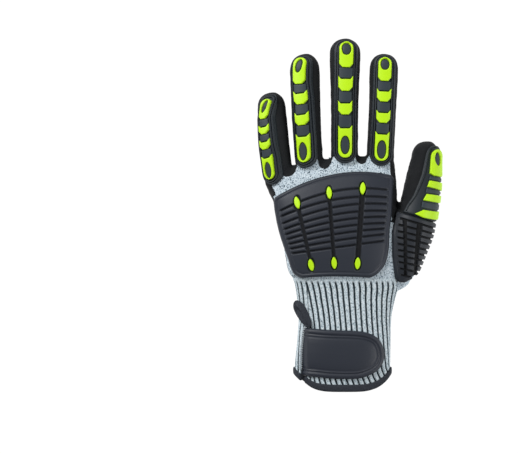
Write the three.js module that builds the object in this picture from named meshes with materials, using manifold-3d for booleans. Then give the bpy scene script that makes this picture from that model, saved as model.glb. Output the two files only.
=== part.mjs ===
// Left-hand work glove: a knitted liner with a rib cuff, a dipped palm coating and soft moulded
// guards on the back of the hand. It lies palm down, with its fingers spread.
// Sizes are in millimetres. +X points to the thumb side, +Y to the fingertips, +Z up.

import * as THREE from 'three';
import { mergeVertices } from 'three/addons/utils/BufferGeometryUtils.js';
import Module from 'manifold-3d';

const wasm = await Module();
wasm.setup();

// Layers of the wall. Depths are counted outwards from the skin of the dipped glove.
const gap = 0.3;
const coatingThickness = 0.9;
const linerThickness = 1.4;
const coatingInside = -coatingThickness;
const linerOutside = coatingInside - gap;
const linerInside = linerOutside - linerThickness;
const onLiner = linerOutside + gap;
const onCoating = gap;

// Form of an oval section: the crown is fuller than an ellipse, the underside lies flat.
const crownShare = 0.56;
const flatShare = 0.86;
const bellyPower = 3;
const palmPower = 2.8;
const fingerPower = 2.2;
const palmSides = 20;
const fingerSides = 10;
const bowPower = 4;

// Rows across the hand, from the hem to the webs. Each runs from its little-finger edge to its
// thumb edge, and bow is how far its middle hangs below the two ends, or stands above them.
const palmRows = [
  { leftX: -42.4, leftY: -125.4, rightX: 32.8, rightY: -125.4, height: 30, bow: 13.4 },
  { leftX: -42.6, leftY: -108, rightX: 33.0, rightY: -108, height: 31, bow: 5 },
  { leftX: -41.4, leftY: -84, rightX: 33.6, rightY: -84, height: 31, bow: 1 },
  { leftX: -42.6, leftY: -68, rightX: 36.6, rightY: -68, height: 31, bow: 0 },
  { leftX: -44.6, leftY: -55, rightX: 40.0, rightY: -55, height: 32, bow: 0 },
  { leftX: -49.4, leftY: -44, rightX: 40.0, rightY: -44, height: 33, bow: 0 },
  { leftX: -52.2, leftY: -29, rightX: 38.4, rightY: -29, height: 34, bow: 0 },
  { leftX: -55.6, leftY: -14, rightX: 38.2, rightY: -13, height: 33.5, bow: 0 },
  { leftX: -58.8, leftY: 2, rightX: 38.0, rightY: 4, height: 32, bow: 0 },
  { leftX: -61.8, leftY: 14, rightX: 37.0, rightY: 21, height: 29, bow: 0 },
  { leftX: -63.8, leftY: 25, rightX: 35.6, rightY: 37.5, height: 22.5, bow: -1.6 },
  { leftX: -64.4, leftY: 33.4, rightX: 34.2, rightY: 46.6, height: 12.6, bow: -4.6 },
];

// Fingers: stations of full sections from the root inside the hand to the last one before the
// round tip. roll turns the guard about the finger, in degrees towards the thumb side.
const fingers = {
  index: {
    roll: 1,
    tipLength: 11.6,
    stations: [
      { x: 24.4, y: 20, halfWidth: 8, height: 14, lift: 4 },
      { x: 24.8, y: 48, halfWidth: 10.7, height: 19, lift: 1 },
      { x: 26.1, y: 76, halfWidth: 10.7, height: 18.5, lift: 2.2 },
      { x: 27.7, y: 117.2, halfWidth: 11.3, height: 17, lift: 0 },
    ],
  },
  middle: {
    roll: 0,
    tipLength: 12,
    stations: [
      { x: -4.0, y: 20, halfWidth: 8, height: 14, lift: 4 },
      { x: -4.0, y: 46, halfWidth: 10.7, height: 19, lift: 1 },
      { x: -4.0, y: 78, halfWidth: 10.7, height: 18.5, lift: 2.4 },
      { x: -3.5, y: 129, halfWidth: 12.2, height: 17, lift: 0 },
    ],
  },
  ring: {
    roll: -21,
    tipLength: 13.6,
    stations: [
      { x: -31.0, y: 18, halfWidth: 8, height: 14, lift: 4 },
      { x: -32.6, y: 45, halfWidth: 10.9, height: 19, lift: 1 },
      { x: -34.6, y: 74, halfWidth: 11.3, height: 18.5, lift: 2.2 },
      { x: -35.9, y: 115.2, halfWidth: 11.8, height: 17, lift: 0 },
    ],
  },
  little: {
    roll: -33,
    tipLength: 12.1,
    stations: [
      { x: -50.0, y: 2, halfWidth: 4.5, height: 13, lift: 5 },
      { x: -57.0, y: 31, halfWidth: 11.5, height: 18, lift: 0.8 },
      { x: -60.4, y: 56, halfWidth: 11.9, height: 17.5, lift: 1.6 },
      { x: -62.6, y: 85.6, halfWidth: 11.1, height: 16, lift: 0 },
    ],
  },
  thumb: {
    roll: 50,
    tipLength: 9.6,
    stations: [
      { x: 41.0, y: -54, halfWidth: 6.5, height: 22, lift: 1 },
      { x: 43.6, y: -43, halfWidth: 9.8, height: 26, lift: 1 },
      { x: 46.2, y: -28, halfWidth: 13.2, height: 29, lift: 0 },
      { x: 49.6, y: -12, halfWidth: 15.6, height: 30, lift: 0 },
      { x: 53.9, y: 6, halfWidth: 14.9, height: 28, lift: 0 },
      { x: 57.2, y: 24, halfWidth: 13.3, height: 25, lift: 0 },
      { x: 59.6, y: 49, halfWidth: 11.0, height: 20, lift: 0 },
    ],
  },
};
const tipAngles = [32, 64];

// Slivers that a join or cut leaves are merged up to this size, and faces inside the hollow
// up to the second one.
const mergeTolerance = 0.1;
const hollowTolerance = 0.25;

// Far enough out to clear the glove on every side, for cutters and for opening the hem.
const beyond = 160;

const degrees = THREE.MathUtils.degToRad;
const lerp = THREE.MathUtils.lerp;

// One point of an oval section, as a share across and a height above its centre.
function ovalPoint(angle, halfWidth, crown, belly, power) {
  const c = Math.cos(angle);
  const s = Math.sin(angle);
  const bend = s >= 0 ? power : bellyPower;
  const across = halfWidth * Math.sign(c) * Math.abs(c) ** (2 / bend);
  const reach = Math.abs(s) ** (2 / bend);
  const up = s >= 0 ? crown * reach : -Math.min(belly, (belly / flatShare) * reach);
  return { across, up };
}

// Solids and joins
function solidFrom(positions, indices) {
  const mesh = new wasm.Mesh({
    numProp: 3,
    vertProperties: new Float32Array(positions),
    triVerts: new Uint32Array(indices),
  });
  const solid = new wasm.Manifold(mesh);
  if (solid.volume() > 0) return solid;
  const turned = [];
  for (let i = 0; i < indices.length; i += 3) turned.push(indices[i], indices[i + 2], indices[i + 1]);
  return solidFrom(positions, turned);
}

function solidOf(geometry) {
  const bare = geometry.clone();
  bare.deleteAttribute('normal');
  bare.deleteAttribute('uv');
  const merged = mergeVertices(bare, 1e-4);
  return solidFrom(merged.attributes.position.array, Array.from(merged.index.array));
}

function geometryOf(solid) {
  const bodies = solid.simplify(mergeTolerance).decompose();
  const body = bodies.reduce((most, next) => (next.volume() > most.volume() ? next : most));
  const mesh = body.getMesh();
  const geometry = new THREE.BufferGeometry();
  geometry.setAttribute('position', new THREE.BufferAttribute(mesh.vertProperties, 3));
  geometry.setIndex(new THREE.BufferAttribute(mesh.triVerts, 1));
  geometry.computeVertexNormals();
  return geometry;
}

const join = (solids) => solids.reduce((whole, next) => whole.add(next));

// Triangles that close a ring: a fan from its first point, or a ladder from side to side where
// the ring is mirrored in the line from its first point across.
const fan = (count) => Array.from({ length: count - 2 }, (_, i) => [0, i + 1, i + 2]);
const ladder = (count) => {
  const half = count / 2;
  const steps = [[0, 1, count - 1], [half - 1, half, half + 1]];
  for (let i = 1; i + 1 < half; i++) {
    steps.push([i, i + 1, count - i - 1], [i, count - i - 1, count - i]);
  }
  return steps;
};

// A closed skin through rings of equal length, with a cap at each end. A pole closes the far end
// in a point instead.
function loft(rings, pole, cap = fan) {
  const count = rings[0].length;
  const points = rings.flat();
  const faces = [];
  for (let r = 0; r + 1 < rings.length; r++) {
    for (let i = 0; i < count; i++) {
      const next = (i + 1) % count;
      const a = r * count + i;
      const b = r * count + next;
      faces.push(a, b, b + count, a, b + count, a + count);
    }
  }
  for (const [a, b, c] of cap(count)) faces.push(a, c, b);
  const end = (rings.length - 1) * count;
  if (pole) {
    for (let i = 0; i < count; i++) faces.push(end + i, end + ((i + 1) % count), points.length);
    points.push(pole);
  } else {
    for (const [a, b, c] of cap(count)) faces.push(end + a, end + b, end + c);
  }
  return solidFrom(points.flatMap((p) => p.toArray()), faces);
}

// A slab between two grids of points, rows by columns.
function slab(rows, columns, topAt, bottomAt) {
  const points = [];
  for (const side of [topAt, bottomAt]) {
    for (let r = 0; r < rows; r++) {
      for (let c = 0; c < columns; c++) points.push(side(r, c));
    }
  }
  const half = rows * columns;
  const faces = [];
  for (let r = 0; r + 1 < rows; r++) {
    for (let c = 0; c + 1 < columns; c++) {
      const a = r * columns + c;
      const up = a + columns;
      faces.push(a, a + 1, up + 1, a, up + 1, up);
      faces.push(half + a, half + up + 1, half + a + 1, half + a, half + up, half + up + 1);
    }
  }
  const rim = [];
  for (let c = 0; c < columns; c++) rim.push(c);
  for (let r = 1; r < rows; r++) rim.push(r * columns + columns - 1);
  for (let c = columns - 2; c >= 0; c--) rim.push((rows - 1) * columns + c);
  for (let r = rows - 2; r > 0; r--) rim.push(r * columns);
  rim.forEach((a, i) => {
    const b = rim[(i + 1) % rim.length];
    faces.push(a, half + a, half + b, a, half + b, b);
  });
  return solidFrom(points.flatMap((p) => p.toArray()), faces);
}

// An upright prism over an outline of [x, y] points.
function prism(outline, low, high) {
  const shape = new THREE.Shape(outline.map(([x, y]) => new THREE.Vector2(x, y)));
  const geometry = new THREE.ExtrudeGeometry(shape, { depth: high - low, bevelEnabled: false });
  geometry.translate(0, 0, low);
  return solidOf(geometry);
}

// The hand: palm and cuff
function palmRing(row, depth, shiftY = 0) {
  const middleX = (row.leftX + row.rightX) / 2;
  const middleY = (row.leftY + row.rightY) / 2 + shiftY;
  const run = new THREE.Vector2(row.rightX - row.leftX, row.rightY - row.leftY);
  const halfWidth = run.length() / 2 + depth;
  run.normalize();
  const crown = row.height * crownShare;
  const belly = row.height - crown;
  const ring = [];
  for (let i = 0; i < palmSides; i++) {
    const angle = (i / palmSides) * 2 * Math.PI;
    const { across, up } = ovalPoint(angle, halfWidth, crown + depth, belly + depth, palmPower);
    const hang = row.bow * (1 - Math.abs(across / halfWidth) ** bowPower);
    const y = middleY + across * run.y - hang;
    ring.push(new THREE.Vector3(middleX + across * run.x, y, belly + up));
  }
  return ring;
}

// The palm at a depth. reach carries it on past the hem, to open the hollow. Without it a smaller
// ring at the hem keeps the end of the wall straight from skin to skin.
function palmSolid(depth, reach) {
  const [hem, web] = [palmRows[0], palmRows.at(-1)];
  const start = reach ? palmRing(hem, depth, -reach) : palmRing(hem, linerInside - linerThickness);
  const middle = palmRows.slice(0, -1).map((row) => palmRing(row, depth));
  return loft([start, ...middle, palmRing(web, depth, depth)], null, ladder);
}

// A point on the back of the hand above (x, y), at a depth.
function palmPoint(x, y, depth) {
  const shareAt = (row) => THREE.MathUtils.clamp((x - row.leftX) / (row.rightX - row.leftX), 0, 1);
  const heightAt = (row) => {
    const share = shareAt(row);
    return lerp(row.leftY, row.rightY, share) - row.bow * (1 - Math.abs(2 * share - 1) ** bowPower);
  };
  let k = 0;
  while (k + 2 < palmRows.length && heightAt(palmRows[k + 1]) < y) k++;
  const [low, high] = [palmRows[k], palmRows[k + 1]];
  const t = (y - heightAt(low)) / (heightAt(high) - heightAt(low));
  const leftX = lerp(low.leftX, high.leftX, t);
  const rightX = lerp(low.rightX, high.rightX, t);
  const height = lerp(low.height, high.height, t);
  const middle = (leftX + rightX) / 2;
  const half = (rightX - leftX) / 2;
  const side = THREE.MathUtils.clamp((x - middle) / half, -1, 1);
  const rise = (1 - Math.abs(side) ** palmPower) ** (1 / palmPower);
  const crown = height * crownShare;
  const z = height - crown + (crown + depth) * rise;
  return new THREE.Vector3(middle + (half + depth) * side, y, z);
}

// Fingers and thumb
function stationAxis(stations, k) {
  const before = stations[Math.max(k - 1, 0)];
  const after = stations[Math.min(k + 1, stations.length - 1)];
  return new THREE.Vector2(after.x - before.x, after.y - before.y).normalize();
}

function fingerPoint(finger, s, angle, depth) {
  const { stations, tipLength } = finger;
  const last = stations.length - 1;
  const onStation = (k, swell, advance) => {
    const station = stations[k];
    const axis = stationAxis(stations, k);
    const crown = station.height * crownShare;
    const belly = station.height - crown;
    const half = (station.halfWidth + depth) * swell;
    const rise = (crown + depth) * swell;
    const sink = (belly + depth) * swell;
    const { across, up } = ovalPoint(angle, half, rise, sink, fingerPower);
    const x = station.x + across * axis.y + advance * axis.x;
    const y = station.y - across * axis.x + advance * axis.y;
    return new THREE.Vector3(x, y, station.lift + belly + up);
  };
  if (s > stations[last].y) {
    const bend = (s - stations[last].y) / tipLength;
    return onStation(last, Math.cos(bend), (tipLength + depth) * Math.sin(bend));
  }
  let k = 0;
  while (k + 2 < stations.length && stations[k + 1].y < s) k++;
  const t = (s - stations[k].y) / (stations[k + 1].y - stations[k].y);
  return onStation(k, 1, 0).lerp(onStation(k + 1, 1, 0), t);
}

function fingerSolid(finger, depth) {
  const { stations, tipLength } = finger;
  const end = stations.at(-1).y;
  const steps = stations.map((station) => station.y);
  steps.push(...tipAngles.map((angle) => end + degrees(angle) * tipLength));
  const angles = Array.from({ length: fingerSides }, (_, i) => (i / fingerSides) * 2 * Math.PI);
  const rings = steps.map((s) => angles.map((angle) => fingerPoint(finger, s, angle, depth)));
  const pole = fingerPoint(finger, end + (Math.PI / 2) * tipLength, 0, depth);
  return loft(rings, pole);
}

function gloveSolid(depth, reach) {
  const parts = Object.values(fingers).map((finger) => fingerSolid(finger, depth));
  return join([palmSolid(depth, reach), ...parts]);
}

// The knitted liner, with the slit of its cuff
const slitLeftX = -36.7;
const slitRightX = -31;
const slitTopY = -84;
const hemReach = 12;

function slitCutter() {
  const outline = [
    [slitLeftX, -beyond], [slitRightX, -beyond], [slitRightX, slitTopY - 6],
    [slitLeftX + 3, slitTopY], [slitLeftX, slitTopY - 3],
  ];
  const ring = (depth) => outline.map(([x, y]) => palmPoint(x, y, depth));
  return loft([ring(linerInside - linerThickness), ring(coatingThickness)]);
}

// The way from the palm into the thumb, where the walls of the two would meet
const thumbWay = {
  outline: [[26, -41], [42, -42], [47, -26], [49, -8], [30, -6]],
  low: 6.5,
  high: 17.5,
};

const hollow = gloveSolid(linerInside, hemReach)
  .add(prism(thumbWay.outline, thumbWay.low, thumbWay.high))
  .simplify(hollowTolerance);
const liner = gloveSolid(linerOutside).subtract(hollow).subtract(slitCutter());

// The coating: the palm up to a line along its sides, and whole fingers as far as the dip line
// that runs under the webs on the back of the hand
const sideLineZ = 15;
const palmDipY = -44;
const dipOutline = [
  [-beyond, 14.8], [-60.6, 14.8], [-62.2, 23.6], [-56.4, 32.4], [-50.8, 30], [-45.6, 32.4],
  [-42, 36.6], [-40.6, 42], [-34, 46], [-28, 46.4], [-26.2, 42.4], [-23.2, 37.7],
  [-19.7, 36.6], [-16.4, 38.4], [-14.4, 44], [-5, 49], [5, 46.3], [5.5, 42.7],
  [9.4, 40.7], [13.4, 42], [15, 45], [24, 48], [31.6, 44], [31.8, 33.6],
  [35.4, 31.6], [35.4, 4], [34.4, -4], [38, -9], [beyond, -9], [beyond, beyond], [-beyond, beyond],
];
const palmOutline = [
  [-beyond, palmDipY + 6], [-40, palmDipY - 1], [0, palmDipY - 3], [30, palmDipY],
  [60, palmDipY - 4], [beyond, palmDipY], [beyond, beyond], [-beyond, beyond],
];
const dipped = prism(dipOutline, -beyond, beyond).add(prism(palmOutline, -beyond, sideLineZ));
const coating = gloveSolid(0).subtract(gloveSolid(coatingInside, hemReach)).intersect(dipped);

// Guards on the fingers: a strip with two rails, dark joint blocks and four bright pads.
// s runs along the finger, w across the guard.
const guardFoot = onCoating + 0.15;
const edgeTop = 0.9;
const recessTop = 1.7;
const railTop = 2.9;
const padFoot = recessTop + gap;
const padTop = 4.2;
const jointTop = 2.7;
const stripProfile = [
  { w: -9.4, top: edgeTop }, { w: -8.3, top: railTop }, { w: -7.1, top: railTop },
  { w: -6.6, top: recessTop }, { w: 0, top: recessTop }, { w: 6.6, top: recessTop },
  { w: 7.1, top: railTop }, { w: 8.3, top: railTop }, { w: 9.4, top: edgeTop },
];
const stripFeet = [9.4, 4.7, 0, -4.7, -9.4];
const stripEnds = [
  { in: 0, width: 0.42, height: 0.45 }, { in: 2.2, width: 0.76, height: 1 },
  { in: 6.4, width: 1, height: 1 },
];
const fingerGuards = {
  index: {
    size: 1, low: 40, high: 128.2,
    tip: [107.3, 124.6], upper: [90.6, 99.2], lower: [73.6, 82], knuckle: [43.4, 64.8],
  },
  middle: {
    size: 1, low: 42, high: 140.4,
    tip: [118.2, 137], upper: [99.2, 109.3], lower: [80.2, 90.3], knuckle: [46.2, 70.4],
  },
  ring: {
    size: 1, low: 38.9, high: 127.4,
    tip: [105, 124.8], upper: [88.7, 97.6], lower: [72, 80.8], knuckle: [42, 63.2],
  },
  little: {
    size: 0.86, low: 25.4, high: 96.4,
    tip: [77.5, 91.8], upper: [65.4, 71.6], lower: [53.4, 60], knuckle: [29.2, 47.6],
  },
};
const guardRadius = 11.4;
const nearestStep = 0.1;
const nearestBend = 0.8;
const steepSine = 0.8;
const steepTurn = 0.35;
const padHalfWidth = 6;
const cornerShare = 0.66;
const ovalSides = 8;
const hornHeight = 1.7;
const chamfer = 2.2;
const knuckleChamfer = 3.5;
const tipOval = { place: 0.7, halfWidth: 3.1, halfLength: 3.8 };
const knuckleOval = { place: 0.44, halfWidth: 3.2, halfLength: 7.2 };
const padColumns = [-1, -cornerShare, 0, cornerShare, 1];
const jointColumns = [-1, 0, 1];

// w is the distance from the guard's middle as seen from above, so that walls stand upright.
// Down the finger's sides it turns more slowly.
function guardPoint(finger, s, w, depth) {
  const bend = Math.max(0, (s - finger.stations.at(-1).y) / finger.tipLength);
  const sine = Math.abs(w) / ((guardRadius + depth) * Math.cos(bend));
  const turn = Math.asin(Math.min(sine, steepSine)) + steepTurn * Math.max(0, sine - steepSine);
  return fingerPoint(finger, s, degrees(90 - finger.roll) - Math.sign(w) * turn, depth);
}

// Where the finger's own faces bend, so that what lies on it can bend there too
function bendsOf(finger) {
  const end = finger.stations.at(-1).y;
  const onTip = tipAngles.map((angle) => end + degrees(angle) * finger.tipLength);
  return [...finger.stations.map((station) => station.y), ...onTip];
}

function guardStrip(finger, { low, high, size }) {
  const ends = stripEnds.flatMap((step) => [low + step.in, high - step.in]);
  const isNew = (s) => ends.every((end) => Math.abs(s - end) > nearestStep);
  const bends = bendsOf(finger).filter((s) => s > low && s < high && isNew(s));
  const steps = [...ends, ...bends].sort((a, b) => a - b);
  const rings = steps.map((s) => {
    const fromEnd = Math.min(s - low, high - s);
    const k = fromEnd < stripEnds[1].in ? 0 : 1;
    const [outer, inner] = [stripEnds[k], stripEnds[k + 1]];
    const t = Math.min(1, (fromEnd - outer.in) / (inner.in - outer.in));
    const narrow = size * lerp(outer.width, inner.width, t);
    const lowered = lerp(outer.height, inner.height, t);
    const over = stripProfile.map((p) => guardPoint(finger, s, p.w * narrow, p.top * lowered));
    const under = stripFeet.map((w) => guardPoint(finger, s, w * narrow, guardFoot));
    return [...over, ...under];
  });
  return loft(rings);
}

// A block on the strip between two edges, each a function of w
function guardBlock(finger, size, columns, lowEdge, highEdge, foot, top) {
  const across = columns.map((share) => share * padHalfWidth * size);
  const [low, high] = [lowEdge(0), highEdge(0)];
  const bends = bendsOf(finger).filter((s) => s > low + nearestBend && s < high - nearestBend);
  const shares = [0, ...bends.map((s) => (s - low) / (high - low)), 1];
  const at = (depth) => (r, c) => {
    const w = across[c];
    return guardPoint(finger, lerp(lowEdge(w), highEdge(w), shares[r]), w, depth);
  };
  return slab(shares.length, across.length, at(top), at(foot));
}

// An oval hole through a pad
function ovalCutter(pointAt, s, { halfWidth, halfLength }, size) {
  const ring = (depth) =>
    Array.from({ length: ovalSides }, (_, i) => {
      const angle = (i / ovalSides) * 2 * Math.PI;
      const along = s + halfLength * size * Math.sin(angle);
      return pointAt(along, halfWidth * size * Math.cos(angle), depth);
    });
  return loft([ring(recessTop), ring(padTop + gap)]);
}

function fingerGuardParts(name) {
  const finger = fingers[name];
  const guard = fingerGuards[name];
  const { size, knuckle, lower, upper, tip } = guard;
  const corner = cornerShare * padHalfWidth * size;
  const stepped = (s, step) => (w) => s + (Math.abs(w) > corner ? step * size : 0);
  const pad = ([low, high], cut, rise) =>
    guardBlock(finger, size, padColumns, stepped(low, cut), stepped(high, rise), padFoot, padTop);
  const onFinger = (s, w, depth) => guardPoint(finger, s, w, depth);
  const hole = ([low, high], oval) =>
    ovalCutter(onFinger, lerp(low, high, oval.place), oval, size);
  const joint = ([, low], [high]) => {
    const start = stepped(low + gap + hornHeight * size, 0);
    const stop = stepped(high - 2 * gap, 0);
    return guardBlock(finger, size, jointColumns, start, stop, recessTop - 0.5, jointTop);
  };
  const joints = [joint(knuckle, lower), joint(lower, upper), joint(upper, tip)];
  return {
    strip: join([guardStrip(finger, guard), ...joints]),
    tip_pad: pad(tip, chamfer, -chamfer).subtract(hole(tip, tipOval)),
    upper_pad: pad(upper, chamfer, hornHeight),
    lower_pad: pad(lower, chamfer, hornHeight),
    knuckle_pad: pad(knuckle, knuckleChamfer, hornHeight).subtract(hole(knuckle, knuckleOval)),
  };
}

// Thumb guard: a strip that widens towards the wrist, a tip pad and three bright bars
const thumb = fingers.thumb;
const thumbFoot = guardFoot + 0.2;
const thumbRadius = 10.6;
const thumbStrip = [
  { s: -1, left: -17, right: 10.5 },
  { s: 6, left: -16, right: 10.5 },
  { s: 14, left: -13.2, right: 10.5 },
  { s: 24, left: -11.4, right: 10.4 },
  { s: 32, left: -10.2, right: 10.2 },
  { s: 40, left: -9.6, right: 9.6 },
  { s: 49, left: -9.2, right: 9.2 },
  { s: 55, left: -8.2, right: 8.2 },
  { s: 58.6, left: -5.4, right: 5.4 },
];
const thumbBars = {
  tip_pad: { low: 32.8, high: 53.4, left: -6.2, right: 6.2, point: 0, narrow: 0.74 },
  upper_bar: { low: 22.6, high: 28.2, left: -6.7, right: 7, point: 0, narrow: 1 },
  lower_bar: { low: 12.4, high: 17.9, left: -7.6, right: 7.2, point: 0, narrow: 1 },
  wedge_bar: { low: 0.8, high: 6.4, left: -10, right: 7.2, point: 0.7, narrow: 1 },
};
const thumbBarTop = 3.6;
const thumbOval = { s: 45.6, halfWidth: 2.6, halfLength: 4.8 };
const railWidth = 1.2;

function thumbPoint(s, w, depth) {
  return fingerPoint(thumb, s, degrees(90 - thumb.roll) - w / thumbRadius, depth);
}

function thumbStripSolid() {
  const rings = thumbStrip.map(({ s, left, right }, r) => {
    const lowered = r === thumbStrip.length - 1 ? 0.6 : 1;
    const put = (w, depth) => thumbPoint(s, w, depth);
    const [rail, recess] = [railTop * lowered, recessTop * lowered];
    const field = [0, 0.25, 0.5, 0.75, 1].map((t) =>
      put(lerp(left + 2.5 * railWidth, right - 2.5 * railWidth, t), recess));
    const feet = [1, 0.8, 0.6, 0.4, 0.2, 0].map((t) => put(lerp(left, right, t), thumbFoot));
    return [
      put(left, edgeTop), put(left + railWidth, rail), put(left + 2 * railWidth, rail), ...field,
      put(right - 2 * railWidth, rail), put(right - railWidth, rail), put(right, edgeTop), ...feet,
    ];
  });
  return loft(rings);
}

function thumbBar({ low, high, left, right, point, narrow }) {
  const across = [0, 0.2, 0.4, 0.6, 0.8, 1];
  const bends = thumbStrip.map((row) => row.s).filter((s) => s > low + nearestBend && s < high - nearestBend);
  const along = [0, ...bends.map((s) => (s - low) / (high - low)), 1];
  const at = (depth) => (r, c) => {
    const pinch = c === 0 ? point : 0;
    const s = lerp(lerp(low, high, along[r]), low, pinch);
    const width = along[r] === 1 ? narrow : 1;
    return thumbPoint(s, width * lerp(left, right, across[c]), depth);
  };
  return slab(along.length, across.length, at(thumbBarTop), at(padFoot));
}

// Guard on the back of the hand. Its rows are arches through three heights, from the wrist up.
const plateRows = [
  { leftX: -38, rightX: 16.5, leftY: -49, midY: -49.2, rightY: -49 },
  { leftX: -44.6, rightX: 23.2, leftY: -46.2, midY: -47, rightY: -46.2 },
  { leftX: -48.2, rightX: 28.4, leftY: -40, midY: -40, rightY: -39 },
  { leftX: -50.4, rightX: 31.2, leftY: -31.2, midY: -25.6, rightY: -20 },
  { leftX: -58.2, rightX: 33.6, leftY: 1.6, midY: 18.8, rightY: 20.1 },
  { leftX: -58.8, rightX: 34, leftY: 12, midY: 30.2, rightY: 29.6 },
  { leftX: -57.6, rightX: 33, leftY: 13.6, midY: 31.6, rightY: 31 },
];
const plateFoot = onLiner + 0.5;
const plateColumns = [0.03, 0.1, 0.3, 0.6, 0.87, 0.97];
const plateTop = 2.4;
const plateEdge = 0.6;
const plateGroove = 0.9;
const ribField = { from: 3, to: 4, grooves: 9 };
const channelSpan = { from: 2.2, to: 3.95 };
const channels = [
  { low: 0.225, high: 0.193, halfWidth: 0.018 },
  { low: 0.456, high: 0.459, halfWidth: 0.018 },
  { low: 0.705, high: 0.745, halfWidth: 0.027 },
];

// A point of the guard: row counts through plateRows, p runs from 0 at its left edge to 1.
function platePoint(row, p, depth) {
  const k = Math.min(Math.floor(row), plateRows.length - 2);
  const t = row - k;
  const mix = (key) => lerp(plateRows[k][key], plateRows[k + 1][key], t);
  const arch = mix('leftY') * 2 * (p - 0.5) * (p - 1) - mix('midY') * 4 * p * (p - 1)
    + mix('rightY') * 2 * p * (p - 0.5);
  return palmPoint(lerp(mix('leftX'), mix('rightX'), p), arch, depth);
}

const channelShare = (row) => (row - channelSpan.from) / (channelSpan.to - channelSpan.from);

function plateSolid() {
  const { from, to, grooves } = ribField;
  const rows = [[0, plateEdge], [0.3, plateTop], [1, plateTop], [2, plateTop], [2.75, plateTop]];
  const pitch = (to - from) / (grooves - 1);
  for (let k = 0; k < grooves; k++) {
    rows.push([from + k * pitch, plateGroove]);
    if (k + 1 < grooves) rows.push([from + (k + 0.5) * pitch, plateTop]);
  }
  rows.push([4.2, plateTop], [5, plateTop], [5.7, plateTop], [6, plateEdge]);

  const plain = (p) => ({ at: () => p, cut: false });
  const columns = plateColumns.map(plain);
  for (const { low, high, halfWidth } of channels) {
    for (const side of [-1, 0, 1]) {
      const at = (row) => lerp(low, high, channelShare(row)) + side * halfWidth;
      columns.push({ at, cut: side === 0 });
    }
  }
  columns.sort((one, other) => one.at(3) - other.at(3));
  const all = [plain(0), ...columns, plain(1)];
  const top = (r, c) => {
    const [row, high] = rows[r];
    const onRim = c === 0 || c === all.length - 1;
    const inChannel = all[c].cut && row >= channelSpan.from && row <= channelSpan.to;
    const depth = onRim ? plateEdge : inChannel ? Math.min(high, plateGroove) : high;
    return platePoint(row, all[c].at(row), depth);
  };
  const bottom = (r, c) => platePoint(rows[r][0], all[c].at(rows[r][0]), plateFoot);
  return slab(rows.length, all.length, top, bottom);
}

const lozenges = [
  { row: 3.93, p: 0.193 }, { row: 3.93, p: 0.459 }, { row: 3.97, p: 0.745 },
  { row: 2.25, p: 0.225 }, { row: 2.2, p: 0.456 }, { row: 2.15, p: 0.705 },
];
const lozengeSize = { halfWidth: 2.5, halfLength: 4.8, bevel: 1.2 };
const lozengeFoot = 0.7;
const lozengeShoulder = 2.6;
const lozengeTop = 3.5;

function lozengeRing(place, grow, depth) {
  const centre = platePoint(place.row, place.p, 0);
  return Array.from({ length: ovalSides }, (_, i) => {
    const angle = (i / ovalSides) * 2 * Math.PI;
    const x = centre.x + (lozengeSize.halfWidth + grow) * Math.cos(angle);
    const y = centre.y + (lozengeSize.halfLength + grow) * Math.sin(angle);
    return palmPoint(x, y, depth);
  });
}

const lozengeSolid = (place) =>
  loft([
    lozengeRing(place, 0, lozengeFoot + gap),
    lozengeRing(place, 0, lozengeShoulder),
    lozengeRing(place, -lozengeSize.bevel, lozengeTop),
  ]);
const lozengePocket = (place) =>
  loft([lozengeRing(place, gap, lozengeFoot), lozengeRing(place, gap, lozengeTop)]);

const handGuard = lozenges.map(lozengePocket).reduce((left, cut) => left.subtract(cut), plateSolid());

// Ribbed guard at the root of the thumb. Its palm side lies on the palm or the thumb, whichever
// is higher, and the rest on the thumb.
const saddleRows = [
  { s: -52, left: -11, right: -1 },
  { s: -49, left: -14.5, right: 4.6 },
  { s: -43, left: -17.5, right: 8.4 },
  { s: -28, left: -20.5, right: 9.6 },
  { s: -12, left: -22, right: 9.8 },
  { s: -3, left: -21.5, right: 9.4 },
];
const saddlePalmShare = 0.4;
const saddleRibs = { low: -48.6, high: -5, count: 10 };
const saddleTop = { rim: 1, channel: 1.2, groove: 1.5, rib: 2.9 };
const saddleColumns = [
  { p: 0, kind: 'rim' }, { p: 0.05, kind: 'rib' }, { p: 0.17, kind: 'rib' },
  { p: 0.28, kind: 'rib' }, { p: 0.32, kind: 'channel' }, { p: 0.36, kind: 'rib' },
  { p: 0.46, kind: 'rib' }, { p: 0.55, kind: 'rib' }, { p: 0.6, kind: 'channel' },
  { p: 0.65, kind: 'rib' }, { p: 0.84, kind: 'rib' }, { p: 1, kind: 'rim' },
];

function saddlePoint(s, p, depth) {
  let k = 0;
  while (k + 2 < saddleRows.length && saddleRows[k + 1].s < s) k++;
  const t = (s - saddleRows[k].s) / (saddleRows[k + 1].s - saddleRows[k].s);
  const left = lerp(saddleRows[k].left, saddleRows[k + 1].left, t);
  const right = lerp(saddleRows[k].right, saddleRows[k + 1].right, t);
  const onThumb = thumbPoint(s, lerp(left, right, p), depth);
  const onPalm = palmPoint(onThumb.x - depth, onThumb.y, depth);
  return p < saddlePalmShare && onPalm.z > onThumb.z ? onPalm : onThumb;
}

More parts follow.
